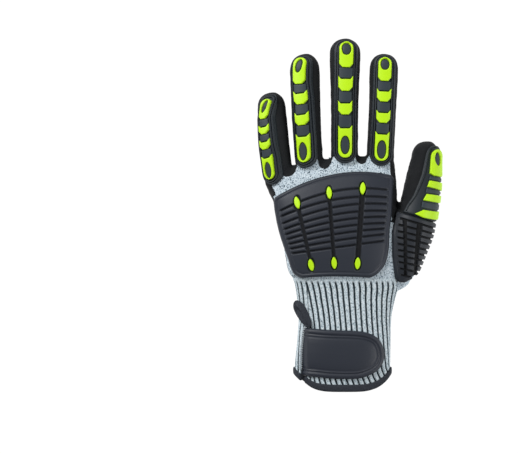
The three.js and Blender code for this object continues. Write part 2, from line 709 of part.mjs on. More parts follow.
function saddleSolid() {
  const [first, last] = [saddleRows[0].s, saddleRows.at(-1).s];
  const { low, high, count } = saddleRibs;
  const rows = [{ s: first, top: saddleTop.rim }, { s: first + 1.4, top: saddleTop.rib }];
  for (let k = 0; k <= count; k++) {
    rows.push({ s: lerp(low, high, k / count), top: saddleTop.groove });
    if (k < count) rows.push({ s: lerp(low, high, (k + 0.5) / count), top: saddleTop.rib });
  }
  rows.push({ s: last - 0.6, top: saddleTop.rib }, { s: last, top: saddleTop.rim });
  const top = (r, c) => {
    const { p, kind } = saddleColumns[c];
    return saddlePoint(rows[r].s, p, Math.min(rows[r].top, saddleTop[kind]));
  };
  const bottom = (r, c) => saddlePoint(rows[r].s, saddleColumns[c].p, thumbFoot);
  return slab(rows.length, saddleColumns.length, top, bottom);
}

// Closing strap: a tab with a round end, whose root goes through the slit of the cuff
const strapTopY = -93;
const strapBottomY = -130.6;
const strapEdgeTop = 1;
const strapLean = 0.03;
const strapShares = [-1, -0.9, -0.3, 0.3, 0.9, 1];
const strapRootColumns = 2;
const strapColumns = [
  { x: -41.6, spread: 0.64, low: -4.3, high: -3.05 },
  { x: slitLeftX + 0.3, spread: 0.68, low: -4.3, high: -3.05 },
  { x: slitLeftX + 0.45, spread: 1, low: -4.0, high: 1.3 },
  { x: -33.4, spread: 1, low: -3.4, high: 1.7 },
  { x: slitRightX - 0.4, spread: 1, low: onLiner, high: 2 },
  { x: -20, spread: 1, low: onLiner, high: 2.2 },
  { x: -8, spread: 0.985, low: onLiner, high: 2.2 },
  { x: 4, spread: 0.96, low: onLiner, high: 2.2 },
  { x: 13, spread: 0.88, low: onLiner, high: 2.2 },
  { x: 20, spread: 0.72, low: onLiner, high: 2.2 },
  { x: 24.6, spread: 0.5, low: onLiner, high: 2 },
  { x: 26.8, spread: 0.24, low: onLiner, high: 1.2 },
];

function strapSolid() {
  const middle = (strapTopY + strapBottomY) / 2;
  const half = (strapTopY - strapBottomY) / 2;
  const at = (isTop) => (r, c) => {
    const { x, spread, low, high } = strapColumns[r];
    const share = strapShares[c];
    const onEdge = Math.abs(share) === 1 && r >= strapRootColumns;
    const top = onEdge ? Math.min(high, strapEdgeTop) : high;
    const y = middle - Math.max(0, x) * strapLean + share * half * spread;
    return palmPoint(x, y, isTop ? top : low);
  };
  return slab(strapColumns.length, strapShares.length, at(true), at(false));
}

// Binding folded over the hem, from one side of the slit right round to the other
const bindingThickness = 0.9;
const bindingHeight = 2.6;
const bindingDrop = 2;
const bindingFirst = 8;     // the ring's point just past the slit

function bindingSolid() {
  const at = (step, depth, rise) => palmRing(palmRows[0], depth, rise)[step % palmSides];
  const outer = onLiner + bindingThickness;
  const inner = linerInside - gap - bindingThickness;
  const rings = [];
  for (let i = 0; i < palmSides; i++) {
    const step = bindingFirst + i;
    rings.push([
      at(step, onLiner, bindingHeight), at(step, outer, bindingHeight),
      at(step, outer, -bindingDrop), at(step, inner, -bindingDrop),
      at(step, inner, bindingHeight), at(step, linerInside - gap, bindingHeight),
      at(step, linerInside - gap, -gap), at(step, onLiner, -gap),
    ]);
  }
  return loft(rings);
}

// Loop of folded tape at the top of the slit, flat against the side of the cuff
const tapeLoop = { x: -38.6, y: -80.4, halfLength: 9, halfWidth: 4.6, tape: 2, tilt: 24, thickness: 2.6 };
const loopSides = 12;

function tapeLoopSolid() {
  const { x, y, halfLength, halfWidth, thickness } = tapeLoop;
  const tilt = degrees(tapeLoop.tilt);
  const centre = palmPoint(x, y, onLiner + 0.2);
  const across = palmPoint(x + 1, y, 0).sub(palmPoint(x - 1, y, 0)).normalize();
  const along = palmPoint(x, y + 1, 0).sub(palmPoint(x, y - 1, 0)).normalize();
  const out = new THREE.Vector3().crossVectors(across, along).normalize();
  const ring = (narrow, depth) =>
    Array.from({ length: loopSides }, (_, i) => {
      const angle = (i / loopSides) * 2 * Math.PI;
      const u = (halfWidth - narrow) * Math.sin(angle);
      const v = (halfLength - narrow) * Math.cos(angle);
      return centre.clone()
        .addScaledVector(across, u * Math.cos(tilt) - v * Math.sin(tilt))
        .addScaledVector(along, u * Math.sin(tilt) + v * Math.cos(tilt))
        .addScaledVector(out, depth);
    });
  const hole = loft([ring(tapeLoop.tape, -1), ring(tapeLoop.tape, thickness + 1)]);
  return loft([ring(0, 0), ring(0, thickness)]).subtract(hole);
}

// Colours and finishes
const finish = (color, roughness) => new THREE.MeshStandardMaterial({ color, roughness, metalness: 0 });
const knit = finish('#a9b7c2', 0.95);
const nitrile = finish('#22252b', 0.7);
const blackRubber = finish('#2f343b', 0.5);
const limeRubber = finish('#c4f403', 0.45);
const tape = finish('#262a31', 0.85);

const glove = new THREE.Group();
glove.name = 'impact_glove';

function addPiece(name, solid, material) {
  const mesh = new THREE.Mesh(geometryOf(solid), material);
  mesh.name = name;
  glove.add(mesh);
}

addPiece('knit_liner', liner, knit);
addPiece('palm_coating', coating, nitrile);
for (const name of Object.keys(fingerGuards)) {
  const { strip, ...pads } = fingerGuardParts(name);
  addPiece(`${name}_guard`, strip, blackRubber);
  for (const [pad, solid] of Object.entries(pads)) addPiece(`${name}_${pad}`, solid, limeRubber);
}
addPiece('thumb_guard', thumbStripSolid(), blackRubber);
for (const [name, bar] of Object.entries(thumbBars)) {
  const solid = thumbBar(bar);
  const oval = ovalCutter(thumbPoint, thumbOval.s, thumbOval, 1);
  addPiece(`thumb_${name}`, name === 'tip_pad' ? solid.subtract(oval) : solid, limeRubber);
}
addPiece('hand_guard', handGuard, blackRubber);
lozenges.forEach((place, i) => addPiece(`hand_lozenge_${i + 1}`, lozengeSolid(place), limeRubber));
addPiece('thumb_root_guard', saddleSolid(), blackRubber);
addPiece('closing_strap', strapSolid(), blackRubber);
addPiece('hem_binding', bindingSolid(), tape);
addPiece('slit_tape_loop', tapeLoopSolid(), tape);

// The origin is under the middle of the glove, on the surface it lies on.
const box = new THREE.Box3().setFromObject(glove);
glove.position.set(-(box.min.x + box.max.x) / 2, -(box.min.y + box.max.y) / 2, -box.min.z);

export default glove;
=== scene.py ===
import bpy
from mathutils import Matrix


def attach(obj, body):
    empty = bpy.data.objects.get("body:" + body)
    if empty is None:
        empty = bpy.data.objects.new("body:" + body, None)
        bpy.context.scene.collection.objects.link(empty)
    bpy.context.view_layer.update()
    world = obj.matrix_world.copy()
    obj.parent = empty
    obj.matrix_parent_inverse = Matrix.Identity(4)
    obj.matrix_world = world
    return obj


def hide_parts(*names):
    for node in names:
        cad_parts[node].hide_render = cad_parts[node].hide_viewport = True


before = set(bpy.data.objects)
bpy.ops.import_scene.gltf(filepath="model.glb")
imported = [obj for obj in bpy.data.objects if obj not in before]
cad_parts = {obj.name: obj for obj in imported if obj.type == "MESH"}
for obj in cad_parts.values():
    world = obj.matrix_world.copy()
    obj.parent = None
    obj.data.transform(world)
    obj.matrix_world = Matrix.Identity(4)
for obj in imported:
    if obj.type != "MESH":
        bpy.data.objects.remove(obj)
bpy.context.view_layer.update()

import math

import bmesh
import bpy
import numpy as np
from mathutils import Vector, noise
from mathutils.bvhtree import BVHTree

# Lengths in the tables are millimetres in the glove's drawn frame: x to the thumb, y to the
# fingertips, z up. This moves them to the row frame.
drawnShift = np.array([0.558, -0.1, 0.0])
metre = 0.001

# Form of an oval section of the hand or a finger
section = {"crown": 0.56, "flat": 0.86, "belly": 3.0, "palm": 2.8, "finger": 2.2}

# Rows across the hand: leftX, leftY, rightX, rightY, height, bow
palmRows = np.array([
    [-42.4, -125.4, 32.8, -125.4, 30, 13.4],
    [-42.6, -108, 33.0, -108, 31, 5],
    [-41.4, -84, 33.6, -84, 31, 1],
    [-42.6, -68, 36.6, -68, 31, 0],
    [-44.6, -55, 40.0, -55, 32, 0],
    [-49.4, -44, 40.0, -44, 33, 0],
    [-52.2, -29, 38.4, -29, 34, 0],
    [-55.6, -14, 38.2, -13, 33.5, 0],
    [-58.8, 2, 38.0, 4, 32, 0],
    [-61.8, 14, 37.4, 21, 29, 0],
    [-63.8, 25, 36.4, 37.5, 22.5, -1.6],
    [-64.4, 33.4, 34.2, 46.6, 12.6, -4.6],
])

# Stations of a finger: x, y, half width, height, lift
fingers = {
    "index": {"roll": 1, "tip": 11.6, "stations": [
        [24.4, 20, 8, 14, 4], [24.8, 48, 10.7, 19, 1], [26.1, 76, 10.7, 18.5, 2.2],
        [27.7, 117.2, 11.3, 17, 0]]},
    "middle": {"roll": 0, "tip": 12.0, "lean": 0.9, "stations": [
        [-4.0, 20, 8, 14, 4], [-4.0, 46, 10.7, 19, 1], [-4.0, 78, 10.7, 18.5, 2.4],
        [-3.5, 129, 12.2, 17, 0]]},
    "ring": {"roll": -21, "tip": 13.6, "lean": 2.0, "stations": [
        [-31.0, 18, 8, 14, 4], [-32.6, 45, 10.9, 19, 1], [-34.6, 74, 11.3, 18.5, 2.2],
        [-35.9, 115.2, 11.8, 17, 0]]},
    "little": {"roll": -33, "tip": 12.1, "lean": 1.8, "stations": [
        [-50.0, 2, 4.5, 13, 5], [-57.0, 31, 11.5, 18, 0.8], [-60.4, 56, 11.9, 17.5, 1.6],
        [-62.6, 85.6, 11.1, 16, 0]]},
    "thumb": {"roll": 50, "tip": 11.9, "lean": 3.0, "stations": [
        [41.0, -54, 6.5, 22, 1], [43.6, -43, 9.8, 26, 1], [46.2, -28, 13.2, 29, 0],
        [49.6, -12, 15.6, 30, 0], [54.5, 6, 14.1, 28, 0], [57.6, 24, 13.1, 25, 0],
        [60.6, 46.4, 10.6, 20, 0]]},
}


def linear(hexCode):
    parts = [int(hexCode[i:i + 2], 16) / 255 for i in (1, 3, 5)]
    return [p / 12.92 if p <= 0.04045 else ((p + 0.055) / 1.055) ** 2.4 for p in parts] + [1.0]


# Gives a node's inputs their values, or links the sockets they come from.
def feed(tree, node, values):
    for key, value in values.items():
        if isinstance(value, bpy.types.NodeSocket):
            tree.links.new(value, node.inputs[key])
        else:
            node.inputs[key].default_value = value


# Adds a node with its settings and inputs and returns one of its outputs. stops are the places
# and colours of a ramp.
def addNode(tree, kind, values, output=0, stops=(), **settings):
    node = tree.nodes.new("ShaderNode" + kind)
    for key, value in settings.items():
        setattr(node, key, value)
    for _ in stops[2:]:
        node.color_ramp.elements.new(0.5)
    for i, (place, color) in enumerate(stops):
        node.color_ramp.elements[i].position = place
        node.color_ramp.elements[i].color = linear(color)
    feed(tree, node, values)
    return node.outputs[output]


def newMaterial(name, color, roughness, ior=1.5):
    material = bpy.data.materials.new(name)
    material.use_nodes = True
    material.diffuse_color = linear(color)
    tree = material.node_tree
    shader = tree.nodes["Principled BSDF"]
    feed(tree, shader, {"Base Color": linear(color), "Roughness": roughness, "IOR": ior})
    return material, tree, shader


# Melange knit of pale cut-resistant yarn and steel-grey thread: dark flecks on blue-grey, a
# stitch (1.1 mm) apart, which give the back of the hand its salt-and-pepper look.
def makeKnit():
    material, tree, shader = newMaterial("knitted HPPE yarn", "#b3c1cc", 0.92, 1.45)
    here = addNode(tree, "TexCoord", {}, "Object")
    stitches = addNode(tree, "Mapping", {"Vector": here, "Scale": (1.25, 0.8, 1.25)})
    fleck = addNode(tree, "TexNoise", {"Vector": stitches, "Scale": 1 / 0.0011, "Detail": 3.0})
    patch = addNode(tree, "TexNoise", {"Vector": here, "Scale": 1 / 0.006, "Detail": 1.0})
    fleck = addNode(tree, "Math", {0: patch, 1: 0.16, 2: fleck}, operation="MULTIPLY_ADD")
    yarn = addNode(tree, "ValToRGB", {"Fac": fleck}, stops=[
        (0.4, "#25323c"), (0.47, "#6e808c"), (0.53, "#bccbd6"), (0.66, "#d1dfe8"), (0.8, "#eaf1f6")])
    bump = addNode(tree, "Bump", {"Height": fleck, "Distance": 0.0006, "Strength": 0.8})
    feed(tree, shader, {"Base Color": yarn, "Normal": bump})
    return material


# Rib knit of the cuff: pale ribs, coloured near black in the valleys between them. The first UV
# coordinate counts ribs, the second is millimetres along the cuff, whose top is plain.
def makeRibKnit():
    material, tree, shader = newMaterial("ribbed HPPE yarn", "#aebcc6", 0.92, 1.45)
    uv = addNode(tree, "TexCoord", {}, "UV")
    here = addNode(tree, "TexCoord", {}, "Object")
    ribs = addNode(tree, "SeparateXYZ", {"Vector": uv}, "X")
    along = addNode(tree, "SeparateXYZ", {"Vector": uv}, "Y")
    share = addNode(tree, "Math", {0: ribs}, operation="FRACT")
    off = addNode(tree, "Math", {0: share, 1: 0.5}, operation="SUBTRACT")
    edge = addNode(tree, "Math", {0: off}, operation="ABSOLUTE")
    wobble = addNode(tree, "TexNoise", {"Vector": here, "Scale": 1 / 0.002})
    shaken = addNode(tree, "Math", {0: wobble, 1: 0.12, 2: edge}, operation="MULTIPLY_ADD")
    valley = addNode(tree, "MapRange", {"Value": shaken, "From Min": 0.32, "From Max": 0.45},
                     interpolation_type="SMOOTHSTEP")
    start = addNode(tree, "MapRange", {"Value": along, "From Min": 71.2, "From Max": 69.4})
    valley = addNode(tree, "Math", {0: valley, 1: start}, operation="MULTIPLY")
    stitches = addNode(tree, "Mapping", {"Vector": here, "Scale": (1.3, 0.7, 1.3)})
    fleck = addNode(tree, "TexNoise", {"Vector": stitches, "Scale": 1 / 0.001, "Detail": 3.0})
    light = addNode(tree, "ValToRGB", {"Fac": fleck}, stops=[
        (0.3, "#56656f"), (0.4, "#b0c1ca"), (0.52, "#d1dfe6"), (0.7, "#e9f0f4")])
    color = addNode(tree, "Mix", {"Factor": valley, "A": light, "B": linear("#202d35")}, "Result",
                    data_type="RGBA")
    bump = addNode(tree, "Bump", {"Height": fleck, "Distance": 0.0005, "Strength": 0.7})
    feed(tree, shader, {"Base Color": color, "Normal": bump})
    return material


# A surface of two close tones with a fine grain, whose size is in metres.
def makeGrained(name, color, roughness, ior, stretch, size, detail, tones, distance, strength):
    material, tree, shader = newMaterial(name, color, roughness, ior)
    here = addNode(tree, "TexCoord", {}, "Object")
    here = addNode(tree, "Mapping", {"Vector": here, "Scale": stretch})
    grain = addNode(tree, "TexNoise", {"Vector": here, "Scale": 1 / size, "Detail": detail})
    tone = addNode(tree, "ValToRGB", {"Fac": grain}, stops=[(0.3, tones[0]), (0.7, tones[1])])
    bump = addNode(tree, "Bump", {"Height": grain, "Distance": distance, "Strength": strength})
    feed(tree, shader, {"Base Color": tone, "Normal": bump})
    return material


# Moulded TPR: satin, smooth, with the faint waviness of a soft moulding. Where a mesh carries the
# attribute cut, the floors of its grooves are darkened with painted shade, the colour floor, and are
# duller.
def makeRubber(name, color, roughness, floor=None):
    material, tree, shader = newMaterial(name, color, roughness, 1.49)
    if floor:
        # painted shade: cut mixes the rubber's colour towards floor on the floors of the grooves
        cut = addNode(tree, "Attribute", {}, "Fac", attribute_name="cut")
        tone = addNode(tree, "Mix", {"Factor": cut, "A": linear(color), "B": linear(floor)}, "Result",
                       data_type="RGBA")
        dull = addNode(tree, "MapRange", {"Value": cut, "To Min": roughness, "To Max": 0.85})
        feed(tree, shader, {"Base Color": tone, "Roughness": dull})
    here = addNode(tree, "TexCoord", {}, "Object")
    waves = addNode(tree, "TexNoise", {"Vector": here, "Scale": 1 / 0.0035})
    bump = addNode(tree, "Bump", {"Height": waves, "Distance": 0.00012, "Strength": 0.5})
    feed(tree, shader, {"Normal": bump})
    return material


# Nitrile is the sandy foam of the dip: near black, matte, with a fine grain that breaks the
# light. Tape is the woven one of hem and loop: fine cross ribs in near black. Thread is plain.
materials = {
    "knit": makeKnit(),
    "rib": makeRibKnit(),
    "nitrile": makeGrained("nitrile foam", "#0b0d11", 0.88, 1.5, (1, 1, 1), 0.0007, 3.0,
                           ("#03060a", "#090e14"), 0.0003, 0.6),
    "frameTpr": makeRubber("moulded black TPR", "#1a232a", 0.56),
    # The last colour of the slate and charcoal rubbers is painted shade for the floors of their
    # grooves
    "plateTpr": makeRubber("moulded slate TPR", "#272c37", 0.52, "#060910"),
    "saddleTpr": makeRubber("moulded charcoal TPR", "#21262e", 0.54, "#04060a"),
    "blockTpr": makeRubber("moulded grey TPR", "#2c383f", 0.56),
    "limeTpr": makeRubber("moulded lime TPR", "#c5f700", 0.5),
    "tape": makeGrained("woven polyester tape", "#2b2f37", 0.85, 1.45, (1.6, 0.7, 0.7), 0.0009, 2.0,
                        ("#1f2228", "#343943"), 0.0004, 0.7),
    "thread": newMaterial("polyester overlock thread", "#c9d2d8", 0.8, 1.45)[0],
}
print("materials ready")


# A smooth curve through a table's columns, without overshoot.
def curveThrough(knots, values, at):
    knots, values, at = np.asarray(knots, float), np.asarray(values, float), np.asarray(at, float)
    values = values.reshape(len(knots), -1)
    gaps = np.diff(knots)[:, None]
    slopes = np.diff(values, axis=0) / gaps
    before, after = slopes[:-1], slopes[1:]
    total = before + after
    agree = before * after > 0
    middle = np.where(agree, 2 * before * after / np.where(agree, total, 1), 0)
    tangents = np.vstack([slopes[:1], middle, slopes[-1:]])
    k = np.clip(np.searchsorted(knots, at.ravel(), "right") - 1, 0, len(knots) - 2)
    gap = gaps[k]
    t = np.clip((at.ravel() - knots[k])[:, None] / gap, 0, 1)
    result = (values[k] * (1 + 2 * t) * (1 - t) ** 2 + tangents[k] * gap * t * (1 - t) ** 2
              + values[k + 1] * t * t * (3 - 2 * t) + tangents[k + 1] * gap * t * t * (t - 1))
    return result.reshape(at.shape + (values.shape[1],))


def smoothStep(low, high, value):
    t = np.clip((value - low) / (high - low), 0, 1)
    return t * t * (3 - 2 * t)


def ovalPoint(angle, halfWidth, crown, belly, power):
    c, s = np.cos(angle), np.sin(angle)
    bend = np.where(s >= 0, power, section["belly"])
    across = halfWidth * np.sign(c) * np.abs(c) ** (2 / bend)
    reach = np.abs(s) ** (2 / bend)
    under = -np.minimum(belly, belly / section["flat"] * reach)
    return across, np.where(s >= 0, crown * reach, under)


# Points of the hand at a row, counted through palmRows, and an angle about the hand.
def palmSurface(row, angle, depth=0.0, advance=0.0):
    table = curveThrough(np.arange(len(palmRows)), palmRows, row)
    leftX, leftY, rightX, rightY, height, bow = np.moveaxis(table, -1, 0)
    run = np.stack([rightX - leftX, rightY - leftY], -1)
    length = np.linalg.norm(run, axis=-1)
    half = length / 2 + depth
    crown = height * section["crown"]
    across, up = ovalPoint(angle, half, crown + depth, height - crown + depth, section["palm"])
    hang = bow * (1 - np.abs(across / half) ** 4)
    x = (leftX + rightX) / 2 + across * run[..., 0] / length
    y = (leftY + rightY) / 2 + across * run[..., 1] / length - hang + advance
    return np.stack([x, y, height - crown + up], -1)


# Points of a finger at s along it and an angle about it.
def fingerSurface(name, s, angle, depth=0.0):
    finger = fingers[name]
    stations = np.array(finger["stations"], float)
    along, end = stations[:, 1], stations[-1, 1]
    bend = np.clip((s - end) / finger["tip"], 0, math.pi / 2)
    inside = np.minimum(s, end)
    x, half, height, lift = np.moveaxis(curveThrough(along, stations[:, [0, 2, 3, 4]], inside), -1, 0)
    step = 2.0
    lean = (curveThrough(along, stations[:, 0], np.minimum(inside + step, end))
            - curveThrough(along, stations[:, 0], np.maximum(inside - step, along[0])))[..., 0]
    reach = np.minimum(inside + step, end) - np.maximum(inside - step, along[0])
    size = np.hypot(lean, reach)
    axisX, axisY = lean / size, reach / size
    crown = height * section["crown"]
    belly = height - crown
    swell, advance = np.cos(bend), (finger["tip"] + depth) * np.sin(bend)
    x = x + finger.get("lean", 0) * (1 - swell) ** 2
    across, up = ovalPoint(angle, (half + depth) * swell, (crown + depth) * swell,
                           (belly + depth) * swell, section["finger"])
    return np.stack([x + across * axisY + advance * axisX, inside - across * axisX + advance * axisY,
                     lift + belly + up], -1)


def gridFaces(rows, columns, around=False):
    c = np.arange(columns if around else columns - 1)
    r, c = np.meshgrid(np.arange(rows - 1), c, indexing="ij")
    a, b = r * columns + c, r * columns + (c + 1) % columns
    return np.stack([a, b, b + columns, a + columns], -1).reshape(-1, 4)


def trianglesOf(faces):
    return np.vstack([faces[:, [0, 1, 2]], faces[:, [0, 2, 3]]])


def newMesh(name, points, faces, cut=None):
    mesh = bpy.data.meshes.new(name)
    mesh.from_pydata(((points + drawnShift) * metre).tolist(), [], [list(map(int, f)) for f in faces])
    # cut is a painted shade mask: the rubber materials darken a point by it
    if cut is not None:
        mesh.attributes.new("cut", "FLOAT", "POINT").data.foreach_set("value", cut.ravel())
    mesh.validate()
    return mesh


def newObject(name, data):
    obj = bpy.data.objects.new(name, data)
    bpy.context.scene.collection.objects.link(obj)
    return obj


# Adds a dressed piece. surfaces are keys of materials, nodes are those it stands in for.
def addPiece(name, mesh, surfaces, nodes, sharp=None):
    obj = newObject(name, mesh)
    for key in surfaces:
        mesh.materials.append(materials[key])
    mesh.shade_smooth()
    if sharp:
        mesh.set_sharp_from_angle(angle=math.radians(sharp))
    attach(obj, "root")
    if nodes:
        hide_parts(*nodes)
    return obj


def outwards(mesh):
    work = bmesh.new()
    work.from_mesh(mesh)
    bmesh.ops.recalc_face_normals(work, faces=work.faces)
    work.to_mesh(mesh)
    work.free()


# The skin of the glove: hand and fingers run together into one surface, as the dip leaves them.
skin = {"voxel": 1.2, "smoothing": 4, "ringStep": 1.5, "palmSides": 120, "fingerSides": 56,
        "swell": 0.25, "pastHem": 14, "web": 1.8, "tip": 0.9, "root": [-6.4, -7.2, 0], "rootRings": 4}


# Points and triangles of a skin swept through rings, with closed ends or closed on itself
def sweptRings(rings, around=False):
    rows, columns = rings.shape[:2]
    faces = gridFaces(rows, columns, True)
    i = np.arange(columns)
    n, last, count = (i + 1) % columns, (rows - 1) * columns, rows * columns
    if around:
        faces = np.vstack([faces, np.stack([last + i, last + n, n, i], -1)])
        return rings.reshape(-1, 3), trianglesOf(faces)
    points = np.vstack([rings.reshape(-1, 3), rings[0].mean(0), rings[-1].mean(0)])
    low = np.stack([n, i, np.full(columns, count)], -1)
    high = np.stack([last + i, last + n, np.full(columns, count + 1)], -1)
    return points, np.vstack([trianglesOf(faces), low, high])


# Below its first ring the thumb narrows into the wrist
def thumbRoot(ring):
    share = np.arange(skin["rootRings"], 0, -1)[:, None, None] / skin["rootRings"]
    middle = ring.mean(0)
    return middle + (ring - middle) * (1 - 0.6 * share ** 2) + np.array(skin["root"]) * share


def skinTubes():
    angles = np.linspace(0, 2 * np.pi, skin["palmSides"], endpoint=False)
    rows = np.linspace(0, len(palmRows) - 1, 140)
    rings = palmSurface(rows[:, None] + 0 * angles, angles + 0 * rows[:, None], skin["swell"])
    web = skin["web"] * np.exp(-((rings[..., 0] + 19) / 8) ** 2)
    rings[..., 1] += web * smoothStep(9.5, 11, rows)[:, None]
    past = rings[:1] - [0, skin["pastHem"], 0]
    yield sweptRings(np.concatenate([past, rings]))
    angles = np.linspace(0, 2 * np.pi, skin["fingerSides"], endpoint=False)
    for name, finger in fingers.items():
        end = finger["stations"][-1][1]
        straight = np.arange(finger["stations"][0][1], end, skin["ringStep"])
        tip = end + finger["tip"] * np.linspace(0, 0.985, 14) * math.pi / 2
        s = np.concatenate([straight, tip])[:, None]
        depth = skin["swell"] + skin["tip"] * smoothStep(end, end + finger["tip"], s)
        rings = fingerSurface(name, s + 0 * angles, angles + 0 * s, depth)
        if name == "thumb":
            rings = np.concatenate([thumbRoot(rings[0]), rings])
        yield sweptRings(rings)


def makeSkin():
    points, faces, count = [], [], 0
    for tube, triangles in skinTubes():
        points.append(tube)
        faces.append(triangles + count)
        count += len(tube)
    mesh = newMesh("skin", np.vstack(points), np.vstack(faces))
    obj = newObject("skin", mesh)
    remesh = obj.modifiers.new("remesh", "REMESH")
    remesh.mode = "VOXEL"
    remesh.voxel_size = skin["voxel"] * metre
    remesh.use_smooth_shade = True
    smooth = obj.modifiers.new("smooth", "SMOOTH")
    smooth.factor = 0.5
    smooth.iterations = skin["smoothing"]
    made = obj.evaluated_get(bpy.context.evaluated_depsgraph_get()).to_mesh()
    made.calc_loop_triangles()
    co = np.empty(len(made.vertices) * 3)
    made.vertices.foreach_get("co", co)
    normal = np.empty(len(made.vertices) * 3)
    made.vertices.foreach_get("normal", normal)
    triangles = np.empty(len(made.loop_triangles) * 3, int)
    made.loop_triangles.foreach_get("vertices", triangles)
    bpy.data.objects.remove(obj)
    co = co.reshape(-1, 3) / metre - drawnShift
    return co, normal.reshape(-1, 3), triangles.reshape(-1, 3)


skinPoints, skinNormals, skinFaces = makeSkin()
skinTree = BVHTree.FromPolygons(skinPoints.tolist(), skinFaces.tolist())
print("skin", len(skinPoints), "points")


# Keeps the triangles where level is above zero and cuts those that cross it. data has one row
# of numbers for each point, blended along a cut edge.
def keepAbove(data, triangles, level):
    inside = level[triangles] > 0
    count = inside.sum(1)
    one, two = triangles[count == 1], triangles[count == 2]
    turnOne = (np.argmax(inside[count == 1], 1)[:, None] + np.arange(3)) % 3
    turnTwo = (np.argmin(inside[count == 2], 1)[:, None] + np.arange(3)) % 3
    one = np.take_along_axis(one, turnOne, 1)
    two = np.take_along_axis(two, turnTwo, 1)
    edges = np.vstack([one[:, [0, 1]], one[:, [0, 2]], two[:, [0, 1]], two[:, [0, 2]]])
    edges.sort(axis=1)
    unique, back = np.unique(edges, axis=0, return_inverse=True)
    back = back.ravel() + len(data)
    a, b = unique[:, 0], unique[:, 1]
    t = (level[a] / (level[a] - level[b]))[:, None]
    data = np.vstack([data, data[a] * (1 - t) + data[b] * t])
    oneAB, oneAC, twoAB, twoAC = np.split(back, np.cumsum([len(one), len(one), len(two)]))
    made = np.vstack([
        triangles[count == 3],
        np.stack([one[:, 0], oneAB, oneAC], -1),
        np.stack([twoAB, two[:, 1], two[:, 2]], -1),
        np.stack([twoAB, two[:, 2], twoAC], -1),
    ])
    used, faces = np.unique(made, return_inverse=True)
    return data[used], faces.reshape(-1, 3)


# Distance to a straight stretch between two points of the plane.
def fromStretch(start, end, x, y):
    (ax, ay), (bx, by) = start, end
    dx, dy = bx - ax, by - ay
    t = np.clip(((x - ax) * dx + (y - ay) * dy) / (dx * dx + dy * dy + 1e-12), 0, 1)
    return np.hypot(x - ax - t * dx, y - ay - t * dy)


# Distance to a closed outline in the plane, positive inside.
def insideDistance(outline, x, y):
    a = np.asarray(outline, float)
    b = np.roll(a, -1, axis=0)
    best = np.full(x.shape, 1e9)
    inside = np.zeros(x.shape, bool)
    for (ax, ay), (bx, by) in zip(a, b):
        best = np.minimum(best, fromStretch((ax, ay), (bx, by), x, y))
        crosses = (ay > y) != (by > y)
        rise = by - ay if abs(by - ay) > 1e-12 else 1e-12
        inside ^= crosses & (x < ax + (y - ay) * (bx - ax) / rise)
    return np.where(inside, best, -best)


# A closed smooth curve through corner points, as many steps to each stretch.
def rounded(points, steps=6):
    p = np.asarray(points, float)
    before, after, later = np.roll(p, 1, 0), np.roll(p, -1, 0), np.roll(p, -2, 0)
    t = (np.arange(steps) / steps)[None, :, None]
    a, b, c, d = (q[:, None] for q in (before, p, after, later))
    curve = 0.5 * (2 * b + (c - a) * t + (2 * a - 5 * b + 4 * c - d) * t ** 2
                   + (3 * b - a - 3 * c + d) * t ** 3)
    return curve.reshape(-1, p.shape[1])


# Coating. On the back it ends in tongues under the webs, along the sides it falls away to the
# wrist, and on the palm side it reaches nearly to the cuff.
coating = {
    "edge": 1.5,
    "rise": 0.5,
    "sideZ": [[-70, 10], [-44, 12], [-20, 15], [0, 19], [13, 19], [20, 10], [60, 9]],
    "palmDipY": -45,
    "dip": [
        [-100, 16], [-61.6, 14.4], [-62.4, 24], [-59.4, 30], [-55, 31.7], [-50.4, 30.2],
        [-46.4, 31.8], [-43.2, 35.6], [-41.6, 41], [-39, 46], [-33, 48], [-27.4, 46.4],
        [-25.6, 42], [-24, 38.6], [-20.3, 36.6], [-16.8, 38.2], [-14.4, 42.6], [-12.6, 47],
        [-4, 49.5], [3.4, 47.4], [4.9, 44.6], [6.2, 42], [9.6, 40.4], [12.8, 42], [14.4, 45.6],
        [17, 48.6], [24, 49.5], [30.4, 47], [32.0, 42], [32.2, 34], [32.6, 20], [32.2, 4],
        [33.4, -3], [37, -7], [100, -12], [100, 170], [-100, 170],
    ],
}


def coatingLevel(points):
    x, y, z = points.T
    onBack = insideDistance(rounded(coating["dip"], 4), x, y)
    sideZ = np.interp(y, *np.array(coating["sideZ"], float).T) + 1.2 * np.sin(y * 0.21 + x * 0.05)
    onPalm = np.minimum(y - coating["palmDipY"] + 1.6 * np.sin(x * 0.09), sideZ - z)
    wave = np.array([noise.noise(Vector(p) * 0.35) for p in points]) * 0.5
    return np.maximum(onBack, onPalm) + wave


# Soft folds of the cloth and the dip, weaker on the fingers and strong at the web of the thumb
def foldsAt(points):
    made = np.empty(len(points))
    for i, (x, y, z) in enumerate(points):
        made[i] = (noise.noise(Vector((x * 0.09, y * 0.16, z * 0.12))) * 0.55
                   + noise.noise(Vector((x * 0.2 + 9, y * 0.42, z * 0.25))) * 0.22)
        made[i] *= 1 - 0.55 * smoothStep(40, 52, y)
        crumple = math.exp(-((x - 39) ** 2 + (y - 4) ** 2) / 130)
        if crumple > 0.02:
            slanted = Vector((x * 0.16 + y * 0.2, y * 0.12 - x * 0.2, z * 0.1))
            made[i] += crumple * 1.5 * noise.noise(slanted)
    return made


skinFolds = foldsAt(skinPoints)


# The part of the skin where level is above zero: its points, normals, folds, levels and triangles
def skinPart(level):
    data = np.column_stack([skinPoints, skinNormals, skinFolds, level])
    data, faces = keepAbove(data, skinFaces, level)
    return data[:, :3], data[:, 3:6], data[:, 6], data[:, 7], faces


points, normals, folds, level, faces = skinPart(coatingLevel(skinPoints))
depth = coating["rise"] * smoothStep(0, coating["edge"], level) - coating["rise"]
coatMesh = newMesh("coating", points + normals * (depth + folds)[:, None], faces)
addPiece("palm_coating_dressed", coatMesh, ["nitrile"], ["palm_coating"])
print("coating", len(faces), "triangles")

